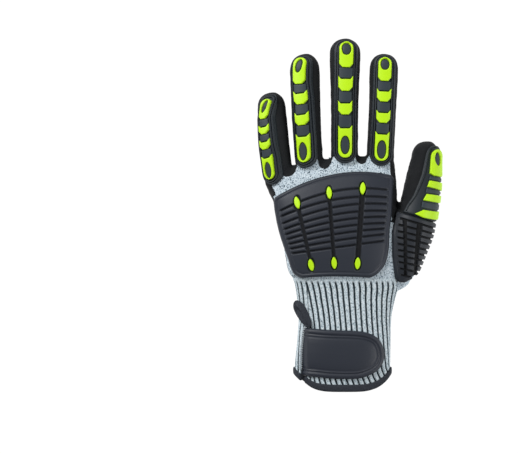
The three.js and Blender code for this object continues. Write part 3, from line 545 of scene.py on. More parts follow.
# Knitted hand of the liner, down to the rib cuff and round the thumb's root beside it
knitHand = {"depth": -0.4, "endY": -51.0, "rootX": 38.2, "tuck": 0.7, "wall": 1.6}
level = np.maximum(skinPoints[:, 1] - knitHand["endY"], skinPoints[:, 0] - knitHand["rootX"])
points, normals, folds, level, faces = skinPart(level)
depth = knitHand["depth"] - knitHand["tuck"] * (1 - smoothStep(0, 3, level))
folds = folds * smoothStep(0, 8, level)
handMesh = newMesh("knit hand", points + normals * (depth + folds)[:, None], faces)
hand = addPiece("knit_hand", handMesh, ["knit"], [])
wall = hand.modifiers.new("wall", "SOLIDIFY")
wall.thickness = knitHand["wall"] * metre
wall.offset = -1
print("knit hand", len(faces), "triangles")


# A host is a grid of points and normals on the skin, which other pieces are laid on.
def makeHost(points, u, v):
    du = np.gradient(points, axis=1)
    dv = np.gradient(points, axis=0)
    normals = np.cross(du, dv)
    normals /= np.linalg.norm(normals, axis=-1, keepdims=True)
    return {"points": points, "normals": normals, "u": u, "v": v}


def onHost(host, u, v, depth):
    cu = np.interp(u, host["u"], np.arange(len(host["u"])))
    cv = np.interp(v, host["v"], np.arange(len(host["v"])))
    i = np.minimum(cu.astype(int), len(host["u"]) - 2)
    j = np.minimum(cv.astype(int), len(host["v"]) - 2)
    s, t = (cu - i)[..., None], (cv - j)[..., None]
    made = []
    for grid in (host["points"], host["normals"]):
        low = grid[j, i] * (1 - s) + grid[j, i + 1] * s
        high = grid[j + 1, i] * (1 - s) + grid[j + 1, i + 1] * s
        made.append(low * (1 - t) + high * t)
    point, normal = made
    normal = normal / np.linalg.norm(normal, axis=-1, keepdims=True)
    return point + normal * np.asarray(depth)[..., None]


# A sheet over a host, turned down to its foot all round
def reliefSheet(name, host, u, v, height, foot, cut):
    top, rim = onHost(host, u, v, height), onHost(host, u, v, foot + 0 * height)
    top = np.concatenate([rim[:1], top, rim[-1:]], 0)
    sides = np.concatenate([rim[:1], rim, rim[-1:]], 0)
    top = np.concatenate([sides[:, :1], top, sides[:, -1:]], 1)
    # cut goes on the sheet as its painted shade mask, zero along the turned-down foot
    return newMesh(name, top.reshape(-1, 3), gridFaces(*top.shape[:2]), np.pad(cut, 1))


# The place of the skin under a point, seen from above
def skinBelow(x, y):
    return skinTree.ray_cast(Vector((x, y, 100)), Vector((0, 0, -1)))[0]


# The skin seen from above, over a range of x and y
def hostFromAbove(xRange, yRange, step=1.5):
    u, v = np.arange(*xRange, step), np.arange(*yRange, step)
    points = np.empty((len(v), len(u), 3))
    for j, y in enumerate(v):
        for i, x in enumerate(u):
            hit = skinBelow(x, y)
            if hit is None:
                hit = skinTree.find_nearest(Vector((x, y, 18)))[0]
            points[j, i] = x, y, hit.z
    return makeHost(points, u, v)


# The back of a finger: v runs along it, and u is an arc across the guard
fingerRadius = 10.6


def hostOnFinger(name, uRange, vRange, step=0.75):
    u, v = np.arange(*uRange, step), np.arange(*vRange, step)
    angle = math.radians(90 - fingers[name]["roll"]) - u / fingerRadius
    return makeHost(fingerSurface(name, v[:, None] + 0 * u, angle + 0 * v[:, None]), u, v)


# The back of a straight finger. u is the distance from the guard's middle as seen from above at
# a depth, so walls stand upright. Down the sides it turns more slowly.
guardTurn = {"radius": 11.4, "steepSine": 0.8, "steepTurn": 0.35}


def onGuard(name, u, s, depth):
    finger = fingers[name]
    bend = np.maximum(0, (s - finger["stations"][-1][1]) / finger["tip"])
    sine = np.abs(u) / ((guardTurn["radius"] + depth) * np.cos(bend))
    steep = guardTurn["steepSine"]
    turn = np.arcsin(np.minimum(sine, steep)) + guardTurn["steepTurn"] * np.maximum(0, sine - steep)
    return fingerSurface(name, s, math.radians(90 - finger["roll"]) - np.sign(u) * turn, depth)


# A moulded slab over outlines in the host's u and v, with a rounded upper edge. Later outlines
# inside the first are holes.
def mouldedSlab(lay, outlines, foot, top, bevel, grain=1.5):
    curve = bpy.data.curves.new("slab", "CURVE")
    curve.dimensions = "2D"
    curve.fill_mode = "BOTH"
    thick = top - foot
    curve.extrude = thick / 2 - bevel
    curve.bevel_depth = bevel
    curve.bevel_resolution = 2
    curve.offset = -bevel
    for outline in outlines:
        spline = curve.splines.new("POLY")
        spline.points.add(len(outline) - 1)
        spline.points.foreach_set("co", [c for u, v in outline for c in (u, v, 0, 1)])
        spline.use_cyclic_u = True
    obj = newObject("slab", curve)
    mesh = bpy.data.meshes.new_from_object(obj.evaluated_get(bpy.context.evaluated_depsgraph_get()))
    bpy.data.objects.remove(obj)
    work = bmesh.new()
    work.from_mesh(mesh)
    bmesh.ops.remove_doubles(work, verts=work.verts, dist=1e-4)
    low = np.min([v.co for v in work.verts], axis=0)
    high = np.max([v.co for v in work.verts], axis=0)
    for axis in (0, 1):
        for at in np.arange(low[axis] + grain / 2, high[axis], grain):
            normal = Vector((1, 0, 0)) if axis == 0 else Vector((0, 1, 0))
            everything = work.verts[:] + work.edges[:] + work.faces[:]
            bmesh.ops.bisect_plane(work, geom=everything, plane_co=normal * at, plane_no=normal)
    bmesh.ops.triangulate(work, faces=work.faces)
    points = np.array([v.co for v in work.verts])
    faces = np.array([[v.index for v in f.verts] for f in work.faces])
    work.free()
    bpy.data.meshes.remove(mesh)
    height = (foot + top) / 2 + points[:, 2]
    if isinstance(lay, dict):
        return onHost(lay, points[:, 0], points[:, 1], height), faces
    return lay(points[:, 0], points[:, 1], height), faces


# One mesh from several parts, each with its material index
def joined(name, parts):
    points, faces, indices, count = [], [], [], 0
    for (p, f), index in parts:
        points.append(p)
        faces.append(np.asarray(f) + count)
        indices += [index] * len(f)
        count += len(p)
    mesh = bpy.data.meshes.new(name)
    everything = (np.vstack(points) + drawnShift) * metre
    mesh.from_pydata(everything.tolist(), [], [list(map(int, f)) for group in faces for f in group])
    mesh.polygons.foreach_set("material_index", indices)
    outwards(mesh)
    return mesh


# An outline moved inwards by a distance
def inset(outline, distance):
    p = np.asarray(outline, float)
    area = np.sum(p[:, 0] * np.roll(p[:, 1], -1) - np.roll(p[:, 0], -1) * p[:, 1])
    ahead = np.roll(p, -1, 0) - p
    behind = p - np.roll(p, 1, 0)
    normals = []
    for run in (ahead, behind):
        run = run / np.maximum(np.linalg.norm(run, axis=1, keepdims=True), 1e-9)
        normals.append(np.stack([-run[:, 1], run[:, 0]], -1) * np.sign(area))
    middle = normals[0] + normals[1]
    size = np.linalg.norm(middle, axis=1, keepdims=True)
    middle /= np.maximum(size, 1e-9)
    stretch = 1 / np.clip((middle * normals[0]).sum(1, keepdims=True), 0.5, 1)
    return p + middle * distance * stretch


def oval(u, v, halfWidth, halfLength, lean=0.0, power=2.0, count=36):
    angle = np.linspace(0, 2 * np.pi, count, endpoint=False)
    x = halfWidth * np.sign(np.cos(angle)) * np.abs(np.cos(angle)) ** (2 / power)
    y = halfLength * np.sign(np.sin(angle)) * np.abs(np.sin(angle)) ** (2 / power)
    c, s = math.cos(lean), math.sin(lean)
    return np.stack([u + x * c - y * s, v + x * s + y * c], -1)


# Outline of a strip with round ends, from the half width at each end
def stripOutline(low, high, halfLow, halfHigh, count=14):
    angle = np.linspace(0, np.pi, count)
    bottom = np.stack([-halfLow * np.cos(angle), low + halfLow * (1 - np.sin(angle))], -1)
    top = np.stack([halfHigh * np.cos(angle), high - halfHigh * (1 - np.sin(angle))], -1)
    return np.vstack([bottom, top])


# Finger guards. The spans of pads are measured along the finger. An oval is the hole of the tip pad:
# its place as a share of the pad, half width, half length and lean. shift moves a guard sideways
# and slants it, at places along the finger.
fingerGuards = {
    "index": {"size": 1, "oval": [0.74, 3.2, 4.0, 0], "low": 39.2, "high": 128.6,
              "tip": [107.3, 124.6], "upper": [90.6, 98.6], "lower": [73.6, 81.4],
              "knuckle": [43.2, 64.2]},
    "middle": {"size": 1, "oval": [0.755, 3.2, 4.3, 0], "low": 41.2, "high": 140.8,
               "shift": [[95, 0, 0], [128, 0.6, 0]],
               "tip": [118.2, 137], "upper": [99.2, 108.7], "lower": [80.2, 89.0],
               "knuckle": [45.8, 69.1]},
    "ring": {"size": 1, "oval": [0.7, 2.8, 4.8, -0.2], "low": 37.8, "high": 128.2,
             "shift": [[40, 0.5, 0], [62, 1.1, 0], [76, 1.1, 0.1], [93, 0.9, 0.1], [106, 0.1, 0.05],
                       [125, 0.9, 0.05]],
             "tip": [105, 124.8], "upper": [88.7, 97.0], "lower": [72, 79.9],
             "knuckle": [42.4, 62.6]},
    "little": {"size": 0.86, "oval": [0.64, 2.4, 5.2, -0.28], "low": 25.6, "high": 97,
               "shift": [[28, 0.7, -0.1], [36, 0.9, -0.05], [45, 1.2, 0.12], [57, 0.6, 0.14],
                         [72, 0.6, 0.14], [78, 0.5, 0.12], [92, 3.9, 0.1]],
               "tip": [77.5, 91.8], "upper": [65.4, 70.6], "lower": [53.4, 58.8],
               "knuckle": [30.0, 46.2]},
}
guardForm = {"half": 9.7, "halfTip": 8.6, "foot": -0.9, "edge": 1.4, "rail": 2.5, "recess": 1.6,
             "pad": 3.9, "joint": 2.8, "padHalf": 5.25, "horn": 2.55, "cut": 3.1, "boss": 3.0,
             "bossGap": 0.25, "knuckleOval": [0.43, 3.5, 7.4, 0]}


# Upper end of a pad, whose corners run up into horns
def hornedEnd(high, half, horn):
    corner = half - 1.9
    return [[half + 0.15, high + horn], [corner, high], [-corner, high], [-half - 0.15, high + horn]]


def shieldOutline(low, high, half, cut, horn):
    corner = half - 2.7
    lowerEnd = [[-half, low + cut], [-corner, low], [corner, low], [half, low + cut]]
    return lowerEnd + hornedEnd(high, half, horn)


def knucklePadOutline(low, high, half, horn):
    angle = np.linspace(np.pi, 2 * np.pi, 15)
    bowl = [[half * math.cos(a), low + half * 1.05 * (1 + math.sin(a))] for a in angle]
    return bowl + hornedEnd(high, half, horn)


def tipPadOutline(low, high, half, cut):
    angle = np.linspace(0, np.pi, 15)
    crown = [[half * math.cos(a), high - half * 0.85 * (1 - math.sin(a))] for a in angle]
    return [[-half, low + cut], [-half + 2.3, low], [half - 2.3, low], [half, low + cut]] + crown


# A black moulding with grey blocks, named after its node
def addGuard(node, parts):
    mesh = joined(node, parts)
    addPiece(node + "_dressed", mesh, ["frameTpr", "blockTpr"], [node], 40)


# A bright pad of one slab, named after its node
def addPad(node, host, outlines, foot, top, bevel):
    mesh = joined(node, [(mouldedSlab(host, outlines, foot, top, bevel), 0)])
    addPiece(node + "_dressed", mesh, ["limeTpr"], [node], 40)


# What fills an oval hole, a little smaller than the hole
def bossOutline(u, v, halfWidth, halfLength, lean):
    gap = guardForm["bossGap"]
    return oval(u, v, halfWidth - gap, halfLength - gap, lean)


def buildFingerGuard(name, guard):
    k, form = guard["size"], guardForm

    def host(u, s, depth):
        knots, shifts, slants = zip(*guard.get("shift", [[0, 0, 0]]))
        u, s = u + np.interp(s, knots, shifts), s + u * np.interp(s, knots, slants)
        return onGuard(name, u, s, depth)

    strip = stripOutline(guard["low"], guard["high"], form["half"] * k, form["halfTip"] * k)
    half = form["padHalf"] * k
    parts = [(mouldedSlab(host, [strip], form["foot"], form["recess"], 0.45), 0)]
    for outer, inner, top in ((0.4, 1.8, form["rail"]), (2.3, 3.5, form["rail"] + 0.3)):
        ridge = [inset(strip, outer * k), inset(strip, inner * k)]
        parts.append((mouldedSlab(host, ridge, 0.2, top, 0.42), 0))
    spans = [guard["knuckle"], guard["lower"], guard["upper"], guard["tip"]]
    for (_, low), (high, _) in zip(spans, spans[1:]):
        low, high = low + 0.5, high - 0.4
        side = half - 0.3
        block = [[-side, low + 0.4], [side, low + 0.4], [side, high], [-side, high]]
        parts.append((mouldedSlab(host, [block], 0.6, form["joint"], 0.5), 1))
    holes = {}
    ovals = {"tip": guard["oval"], "knuckle": form["knuckleOval"]}
    for part, (at, wide, long, lean) in ovals.items():
        low, high = guard[part]
        holes[part] = (0, low + at * (high - low), wide * k, long * k, lean)
        boss = [bossOutline(*holes[part])]
        parts.append((mouldedSlab(host, boss, 0.6, form["boss"], 0.8), 1))
    addGuard(name + "_guard", parts)
    cut, horn = form["cut"] * k, form["horn"] * k
    outlines = {
        "tip": tipPadOutline(*guard["tip"], half - 0.45, 2.8 * k),
        "upper": shieldOutline(*guard["upper"], half, cut, horn),
        "lower": shieldOutline(*guard["lower"], half, cut, horn),
        "knuckle": knucklePadOutline(*guard["knuckle"], half, horn),
    }
    for part, outline in outlines.items():
        hole = [oval(*holes[part])[::-1]] if part in holes else []
        addPad(name + "_" + part + "_pad", host, [outline] + hole, 0.8, form["pad"], 0.55)


for name, guard in fingerGuards.items():
    buildFingerGuard(name, guard)
    print(name, "guard")

# Thumb guard: a strip that widens to the wrist, dark bars and bright bars across it
thumbGuard = {
    "left": [[-1.2, -17], [6, -16], [14, -13.4], [24, -11.6], [32, -10.4], [40, -9.8], [49, -9.4],
             [52.6, -8.4], [55.2, -6.2], [56.6, -3]],
    "right": [[56.6, 3], [55.2, 6.2], [52.6, 8.4], [49, 9.4], [40, 9.6], [24, 10.2], [6, 10.4],
              [-1.2, 10.4]],
    "bars": {
        "upper_bar": [[-6.8, 22.6], [-5.9, 27.6], [7.2, 27.6], [7.4, 21.6]],
        "lower_bar": [[-8.0, 11.7], [-6.7, 16.9], [7.2, 17.9], [7.4, 12.4]],
        "wedge_bar": [[-10.4, -0.1], [-7.2, 4.5], [7.4, 6.3], [7.6, 0.9], [-6.4, -1.1]],
    },
    "dark": [
        [[-6.2, 28.5], [-5.8, 31.2], [6.8, 31.2], [7.2, 28.5]],
        [[-7.2, 17.8], [-7.0, 21.4], [7.2, 20.6], [7.2, 18.8]],
        [[-8.2, 5.8], [-8.2, 10.7], [7.2, 11.3], [7.4, 7.3]],
    ],
    "tip": [32.0, 52.7],
    "oval": [-1.0, 45.4, 2.6, 5.3, 0.12],
}


def buildThumbGuard():
    spec = thumbGuard
    host = hostOnFinger("thumb", (-21, 15.1), (-5, 63))
    strip = [[u, v] for v, u in spec["left"] + spec["right"]][::-1]
    parts = [(mouldedSlab(host, [strip], -0.9, 1.6, 0.45), 0)]
    parts.append((mouldedSlab(host, [inset(strip, 0.5), inset(strip, 1.7)], 0.2, 2.6, 0.45), 0))
    for bar in spec["dark"]:
        parts.append((mouldedSlab(host, [bar], 0.6, 2.9, 0.6), 1))
    parts.append((mouldedSlab(host, [bossOutline(*spec["oval"])], 0.6, 3.0, 0.7), 1))
    addGuard("thumb_guard", parts)
    pads = {name: [outline] for name, outline in spec["bars"].items()}
    pads["tip_pad"] = [tipPadOutline(*spec["tip"], 6.1, 1.2), oval(*spec["oval"])[::-1]]
    for name, outline in pads.items():
        addPad("thumb_" + name, host, outline, 0.8, 3.7, 0.55)


buildThumbGuard()
print("thumb guard")

# Guard on the back of the hand. arcs are the y at its left edge, middle and right edge of the
# lines across it, from the wrist up, and grooves the first and last of them that is a groove.
plate = {
    "arcs": [[-50.0, -48.8, -49.9], [-47.3, -46.4, -47.1], [-41.2, -41.6, -40], [-31.2, -25.8, -20.3],
             [-27.8, -20.5, -15.1], [-24.4, -15.4, -10.9], [-20.8, -10.4, -6.6], [-17.1, -5.2, -1.8],
             [-13.2, 0, 2.7], [-8.8, 5.8, 7.9], [-3.2, 11.6, 13.1], [1, 18.2, 18.8],
             [11.8, 29.8, 29.6], [14.2, 32, 31.6]],
    "grooves": [3, 11],
    "leftEdge": [[-50.2, -37.2], [-49.2, -40.2], [-45.8, -44.9], [-33.7, -49.1], [-25.1, -52],
                 [-13.7, -55.6], [-1.6, -58.4], [11, -60], [14.2, -59.2]],
    "rightEdge": [[-50.2, 13.0], [-49.4, 16.6], [-45.4, 22.6], [-37.6, 27.8], [-26.6, 30.0],
                  [-12.3, 30.7], [2, 32.4], [16.3, 33.2], [29.1, 34.0], [31.6, 32.2]],
    "columns": 230, "rowStep": 0.42,
    "top": 2.5, "foot": -1.0, "rolled": [1.3, 1.5], "raised": 0.25,
    "rims": [[0.3, 2.0, 0.8], [-0.35, 3.4, 0.5]],
    "grooveDepth": 1.8, "grooveHalf": 0.78, "paintedShadeHalf": 0.74,
    "channelFloor": 0.75, "pocketFloor": 0.9,
    "channels": [[[-42.0, 9.3], [-31.0, -39.6], 1.1], [[-16.9, 16.9], [-13.1, -38.0], 1.2],
                 [[9.6, 20.4], [5.4, -38.4], 1.9]],
    "lozenge": {"half": [2.15, 4.7], "top": 3.5, "power": 1.7},
}


def buildPlate():
    arcs = np.array(plate["arcs"], float)
    index = np.arange(len(arcs))
    fine = np.linspace(0, len(arcs) - 1, 4000)
    middles = curveThrough(index, arcs[:, 1], fine)[:, 0]
    count = int((middles[-1] - middles[0]) / plate["rowStep"])
    rows = np.interp(np.linspace(middles[0], middles[-1], count), middles, fine)
    p = np.linspace(0, 1, plate["columns"])
    left, mid, right = np.moveaxis(curveThrough(index, arcs, rows), -1, 0)
    arch = (left[:, None] * 2 * (p - 0.5) * (p - 1) - mid[:, None] * 4 * p * (p - 1)
            + right[:, None] * 2 * p * (p - 0.5))
    leftX = curveThrough(*zip(*plate["leftEdge"]), left)[:, 0]
    rightX = curveThrough(*zip(*plate["rightEdge"]), right)[:, 0]
    x = leftX[:, None] + (rightX - leftX)[:, None] * p
    grid = np.stack([x, arch], -1)
    edge = np.vstack([grid[0], grid[1:-1, -1], grid[-1, ::-1], grid[-2:0:-1, 0]])
    fromEdge = insideDistance(edge[::3], x, arch).clip(0)
    fall, width = plate["rolled"]
    height = plate["top"] - fall * (1 - np.clip(fromEdge / width, 0, 1)) ** 2
    for rise, at, spread in plate["rims"]:
        height += rise * np.exp(-((fromEdge - at) / spread) ** 2)
    spacing = np.abs(np.gradient(arch, axis=0)) / np.gradient(rows)[:, None]
    first, last = plate["grooves"]
    nearest = np.clip(np.round(rows), first, last)[:, None]
    away = np.abs(rows[:, None] - nearest) * spacing
    ends = smoothStep(3.6, 5.4, fromEdge)
    inField = smoothStep(first - 0.3, first + 0.2, rows) - smoothStep(last - 0.2, last + 0.3, rows)
    height += plate["raised"] * inField[:, None] * ends
    height -= plate["grooveDepth"] * np.exp(-(away / plate["grooveHalf"]) ** 2) * ends
    # cut is painted shade: it darkens the floors of the grooves here, of the channels and of the
    # lozenge pockets
    cut = 0.95 * np.exp(-(away / plate["paintedShadeHalf"]) ** 2) * ends
    for start, end, half in plate["channels"]:
        away = fromStretch(start, end, x, arch)
        height = np.minimum(height, plate["channelFloor"] + 3 * smoothStep(half, half + 0.9, away))
        cut = np.maximum(cut, 1 - smoothStep(half - 0.2, half + 0.4, away))
    lozenges = []
    for start, end, _ in plate["channels"]:
        lean = math.atan2(end[0] - start[0], start[1] - end[1])
        for u, v in (start, end):
            lozenges.append((u, v, lean))
            spread = np.hypot(x - u, (arch - v) * 0.5)
            height = np.minimum(height, plate["pocketFloor"] + 3 * smoothStep(2.7, 3.4, spread))
            cut = np.maximum(cut, 1 - smoothStep(2.6, 3.1, spread))
    host = hostFromAbove((-64, 40), (-54, 38))
    mesh = reliefSheet("hand plate", host, x, arch, height, plate["foot"], cut)
    addPiece("hand_guard_dressed", mesh, ["plateTpr"], ["hand_guard"])
    form = plate["lozenge"]
    # 1 to 3 stand at the upper ends of the channels, 4 to 6 at the lower ones
    for i, (u, v, lean) in enumerate(lozenges):
        outline = oval(u, v, *form["half"], lean, form["power"])
        addPad("hand_lozenge_" + str(i // 2 + 1 + i % 2 * 3), host, [outline], 0.2, form["top"], 0.7)


buildPlate()
print("hand guard")

# Ribbed guard at the root of the thumb: blocks in rows, between a border on the palm side and two
# channels that run towards the wrist
saddle = {
    "rows": [[-53.4, -14.2, -8.4], [-51, -18.8, -5.2], [-43, -22.3, 4.2], [-28, -23.3, 9.6],
             [-12, -26, 10.2], [-1.5, -25.4, 9.6]],
    "firstGroove": -47.4, "lastGroove": -6.2, "blocks": 9,
    "channels": [[[44.1, -8.4], [43.8, -39], [1.0, 0.8]], [[54.4, -8.4], [50.6, -39], [1.8, 0.9]]],
    "grooveHalf": 0.5, "soften": 0.35, "border": 6.2,
    "top": 3.0, "floor": 1.2, "foot": -1.2, "rolled": [1.5, 1.4], "least": 0.7,
    "step": 0.3, "columns": 150, "underHand": 0.45, "smoothing": 40,
}


def buildSaddle():
    table = np.array(saddle["rows"], float)
    s = np.arange(table[0, 0], table[-1, 0], saddle["step"])
    p = np.linspace(0, 1, saddle["columns"])
    left, right = np.moveaxis(curveThrough(table[:, 0], table[:, 1:], s), -1, 0)
    w = left[:, None] + (right - left)[:, None] * p
    angle = math.radians(90 - fingers["thumb"]["roll"]) - w / fingerRadius
    base = fingerSurface("thumb", s[:, None] + 0 * w, angle)
    for j in range(len(s)):
        for i in range(int(len(p) * saddle["underHand"])):
            x, y, z = base[j, i]
            hit = skinBelow(x, y)
            if hit is not None and hit.z > z:
                base[j, i, 2] = hit.z
    for _ in range(saddle["smoothing"]):
        base[1:-1, 1:-1] = (base[:-2, 1:-1] + base[2:, 1:-1] + base[1:-1, :-2] + base[1:-1, 2:]) / 4
    across = np.linalg.norm(np.diff(base, axis=1), axis=-1)
    across = np.concatenate([np.zeros((len(s), 1)), np.cumsum(across, 1)], 1)
    fromEnd = np.minimum(s - s[0], s[-1] - s)[:, None]
    fromEdge = np.minimum(across, fromEnd)
    first, last, soften = saddle["firstGroove"], saddle["lastGroove"], saddle["soften"]
    pitch = (last - first) / saddle["blocks"]
    count = (s - first) / pitch
    fromGroove = np.abs(count - np.clip(np.round(count), 0, saddle["blocks"]))[:, None] * pitch
    deep = saddle["top"] - saddle["floor"]
    inField = smoothStep(saddle["border"] - 0.4, saddle["border"] + 0.4, across)
    # cut sinks the grooves and channels and is also painted shade, darkening their floors
    cut = (1 - smoothStep(saddle["grooveHalf"], saddle["grooveHalf"] + soften, fromGroove)) * inField
    x, y = base[..., 0], base[..., 1]
    inRows = (smoothStep(first - 0.6, first + 0.4, s) * (1 - smoothStep(last, last + 1, s)))[:, None]
    for (ax, ay), (bx, by), halves in saddle["channels"]:
        half = np.interp(y, [by, ay], halves[::-1])
        away = np.abs(x - ax - (y - ay) * (bx - ax) / (by - ay))
        channel = 1 - smoothStep(half, half + soften, away)
        cut = np.maximum(cut, channel * inRows * inField)
    fall, width = saddle["rolled"]
    height = saddle["top"] - deep * cut - fall * (1 - np.clip(fromEdge / width, 0, 1)) ** 2
    height = np.maximum(height, saddle["least"])
    host = makeHost(base, np.arange(len(p)), np.arange(len(s)))
    u, v = np.arange(len(p)) + 0 * w, np.arange(len(s))[:, None] + 0 * w
    mesh = reliefSheet("thumb root guard", host, u, v, height, saddle["foot"], cut)
    outwards(mesh)
    addPiece("thumb_root_guard_dressed", mesh, ["saddleTpr"], ["thumb_root_guard"],
             35)


buildSaddle()
print("thumb root guard")

# Rib cuff. Its ribs are counted by arc length from the slit, round by the thumb side. Below the
# slit's top its far edge, the flap, lies over the strap and its near edge runs on under the flap.
cuff = {
    "ribs": 43, "perRib": 11, "rowStep": 1.35, "wall": 1.5,
    "topY": -46.5, "ribTopY": -51.6, "slitAngle": 135.0, "slitTopY": -84.0,
    "flapBack": 4.2, "flapLean": 0.07, "under": 2.5,
    "groove": 1.2, "grooveHalf": 0.62, "flapLift": 0.9, "underSink": 1.0,
    "flare": 2.0, "lean": 0.13, "hemLean": 0.4,
    "tuck": 0.9, "tuckY": -52.0,
}
cuffAngles = math.radians(cuff["slitAngle"] + 25) - np.linspace(0, 2 * np.pi + math.radians(50), 2600)


# Angles at distances round a row of the hand, from the slit, and the row's length
def anglesAt(row, at):
    ring = palmSurface(row + 0 * cuffAngles, cuffAngles)
    length = np.concatenate([[0], np.cumsum(np.linalg.norm(np.diff(ring, axis=0), axis=1))])
    start = np.interp(math.radians(-cuff["slitAngle"]), -cuffAngles, length)
    stop = np.interp(math.radians(360 - cuff["slitAngle"]), -cuffAngles, length)
    total = stop - start
    return np.interp(np.asarray(at) * total + start, length, cuffAngles), total


# For a row at height y: how open the slit is, and its two edges as shares of the way round
def slitAt(y, total):
    opened = float(np.clip((cuff["slitTopY"] - y) / 8, 0, 1))
    back = cuff["flapBack"] + cuff["flapLean"] * max(0, cuff["slitTopY"] - y)
    return opened, -cuff["under"] * opened / total, 1 - back * opened / total


# What lifts the flap, sinks the edge under it and flares the little-finger side at the hem
def cuffLift(share, angle, y, total, opened):
    fromFlap = (1 - share) * total
    lift = cuff["flapLift"] * np.clip(1.4 - fromFlap / 14, 0, 1) * (share > 0.5)
    sink = -cuff["underSink"] * np.clip(1 - share * total / 7, 0, 1) * (share < 0.5)
    side = np.exp(-((np.degrees(angle) % 360 - 176) / 26) ** 2)
    flare = cuff["flare"] * side * smoothStep(-100, -124, y)
    return (lift + sink) * opened + flare


def buildCuff():
    columns = cuff["ribs"] * cuff["perRib"] + 1
    count = int((cuff["topY"] - palmRows[0, 1]) / cuff["rowStep"])
    heights = np.linspace(palmRows[0, 1], cuff["topY"], count)
    rows = np.interp(heights, palmRows[:, 1], np.arange(len(palmRows)))
    outer, inner = np.empty((count, columns, 3)), np.empty((count, columns, 3))
    ribCount = np.empty((count, columns))
    for r, (row, y) in enumerate(zip(rows, heights)):
        _, total = anglesAt(row, 0)
        opened, near, far = slitAt(y, total)
        share = np.linspace(near, far, columns)
        angle, _ = anglesAt(row, share)
        lean = cuff["lean"] * max(0, -54 - y) + cuff["hemLean"] * max(0, -118 - y)
        lean = lean * smoothStep(0.9, 0.6, share)
        ribCount[r] = (share - lean / total) * cuff["ribs"]
        away = np.abs(ribCount[r] - np.round(ribCount[r])) * total / cuff["ribs"]
        rib = cuff["groove"] * np.exp(-(away / cuff["grooveHalf"]) ** 2)
        rib = rib * smoothStep(cuff["ribTopY"], cuff["ribTopY"] - 2.2, y)
        tuck = cuff["tuck"] * float(np.clip((y - cuff["tuckY"]) / 3, 0, 1))
        base = knitHand["depth"] - tuck + cuffLift(share, angle, y, total, opened)
        outer[r] = palmSurface(row + 0 * angle, angle, base - rib)
        inner[r] = palmSurface(row + 0 * angle, angle, base - cuff["wall"])
    points = np.vstack([outer.reshape(-1, 3), inner.reshape(-1, 3)])
    half = count * columns
    faces = gridFaces(count, columns)
    r, c = np.arange(count - 1) * columns, np.arange(columns - 1)
    top = (count - 1) * columns + c
    walls = [faces, faces[:, ::-1] + half]
    right = r + columns - 1
    for a, b in ((c, c + 1), (top + 1, top), (r + columns, r), (right, right + columns)):
        walls.append(np.stack([b, a, a + half, b + half], -1))
    mesh = newMesh("rib cuff", points, np.vstack(walls))
    layer = mesh.uv_layers.new(name="ribs")
    length = np.repeat(np.arange(count) * cuff["rowStep"], columns)
    uv = np.tile(np.stack([ribCount.ravel(), length], -1), (2, 1))
    loops = np.empty(len(mesh.loops), int)
    mesh.loops.foreach_get("vertex_index", loops)
    layer.data.foreach_set("uv", uv[loops].ravel())
    outwards(mesh)
    addPiece("knit_cuff", mesh, ["rib"], ["knit_liner"])
    return (outer[:, -1] + inner[:, -1]) / 2


flapEdge = buildCuff()
print("cuff")


# Closing strap: a rim, a groove and a ridge round a plain domed field. profile is the height at
# distances from the edge; past the slit the strap runs on under the flap.
strap = {
    "outline": [[-39.4, -94], [-37.4, -90.4], [-31, -90.4], [-21.4, -91.2], [-8, -91.8], [3.1, -92.2],
                [12.3, -93.4], [20.2, -96.7], [25.1, -102.9], [27, -112], [25.1, -119.4],
                [19.6, -125.5], [9.2, -129.8], [0, -130.7], [-15.3, -130.4], [-27.5, -129.2],
                [-37.4, -128], [-39.4, -124]],
    "rootX": -52, "spine": [[-34, -110.5], [9, -111.5]], "rings": 60,
    "profile": [[0, -0.4], [0.15, 0.5], [0.6, 1.4], [1.4, 2.0], [2.6, 2.25], [3.6, 1.95], [4.2, 1.45],
                [4.8, 1.6], [5.4, 1.95], [6.0, 1.6], [6.6, 1.55], [8, 1.85], [12, 2.15], [20, 2.3]],
    "foot": -1.0,
}


def buildStrap():
    host = hostFromAbove((-44, 34), (-138, -84))
    fall = np.clip((-33 - host["u"]) / 6, 0, 1)
    host["points"] = host["points"] - host["normals"] * (3.2 * fall)[None, :, None]
    outline = rounded(strap["outline"], 16)
    (ax, ay), (bx, by) = strap["spine"]
    t = np.clip((outline[:, 0] - ax) / (bx - ax), 0, 1)
    spine = np.stack([ax + (bx - ax) * t, ay + (by - ay) * t], -1)
    share = (np.linspace(0, 1, strap["rings"]) ** 1.3)[:, None, None]
    grid = outline * (1 - share) + spine * share
    root = np.where(outline[:, :1] < -36, [[strap["rootX"], 0]], outline)
    root[:, 1] = outline[:, 1]
    fromEdge = insideDistance(root, grid[..., 0], grid[..., 1]).clip(0)
    knots, heights = np.array(strap["profile"]).T
    height = curveThrough(knots, heights, fromEdge)[..., 0]
    top = onHost(host, grid[..., 0], grid[..., 1], height)
    foot = onHost(host, outline[:, 0], outline[:, 1], np.full(len(outline), strap["foot"]))[None]
    mesh = joined("strap", [(sweptRings(np.concatenate([foot, top])), 0)])
    addPiece("closing_strap_dressed", mesh, ["plateTpr"], ["closing_strap"], 50)


buildStrap()
print("strap")


# Binding folded over the hem. profile is its section: how far out, and how far up from the hem.
binding = {
    "profile": [[-0.2, 3.4], [0.35, 3.7], [0.85, 3.3], [1.0, 2.2], [1.0, 0.2], [0.85, -1.1],
                [0.35, -1.9], [-0.7, -2.2], [-1.9, -1.9], [-2.4, -1.1], [-2.55, 0.2], [-2.5, 2.2],
                [-2.3, 3.2], [-1.8, 3.3]],
    "overlap": 0.002, "steps": 280,
}


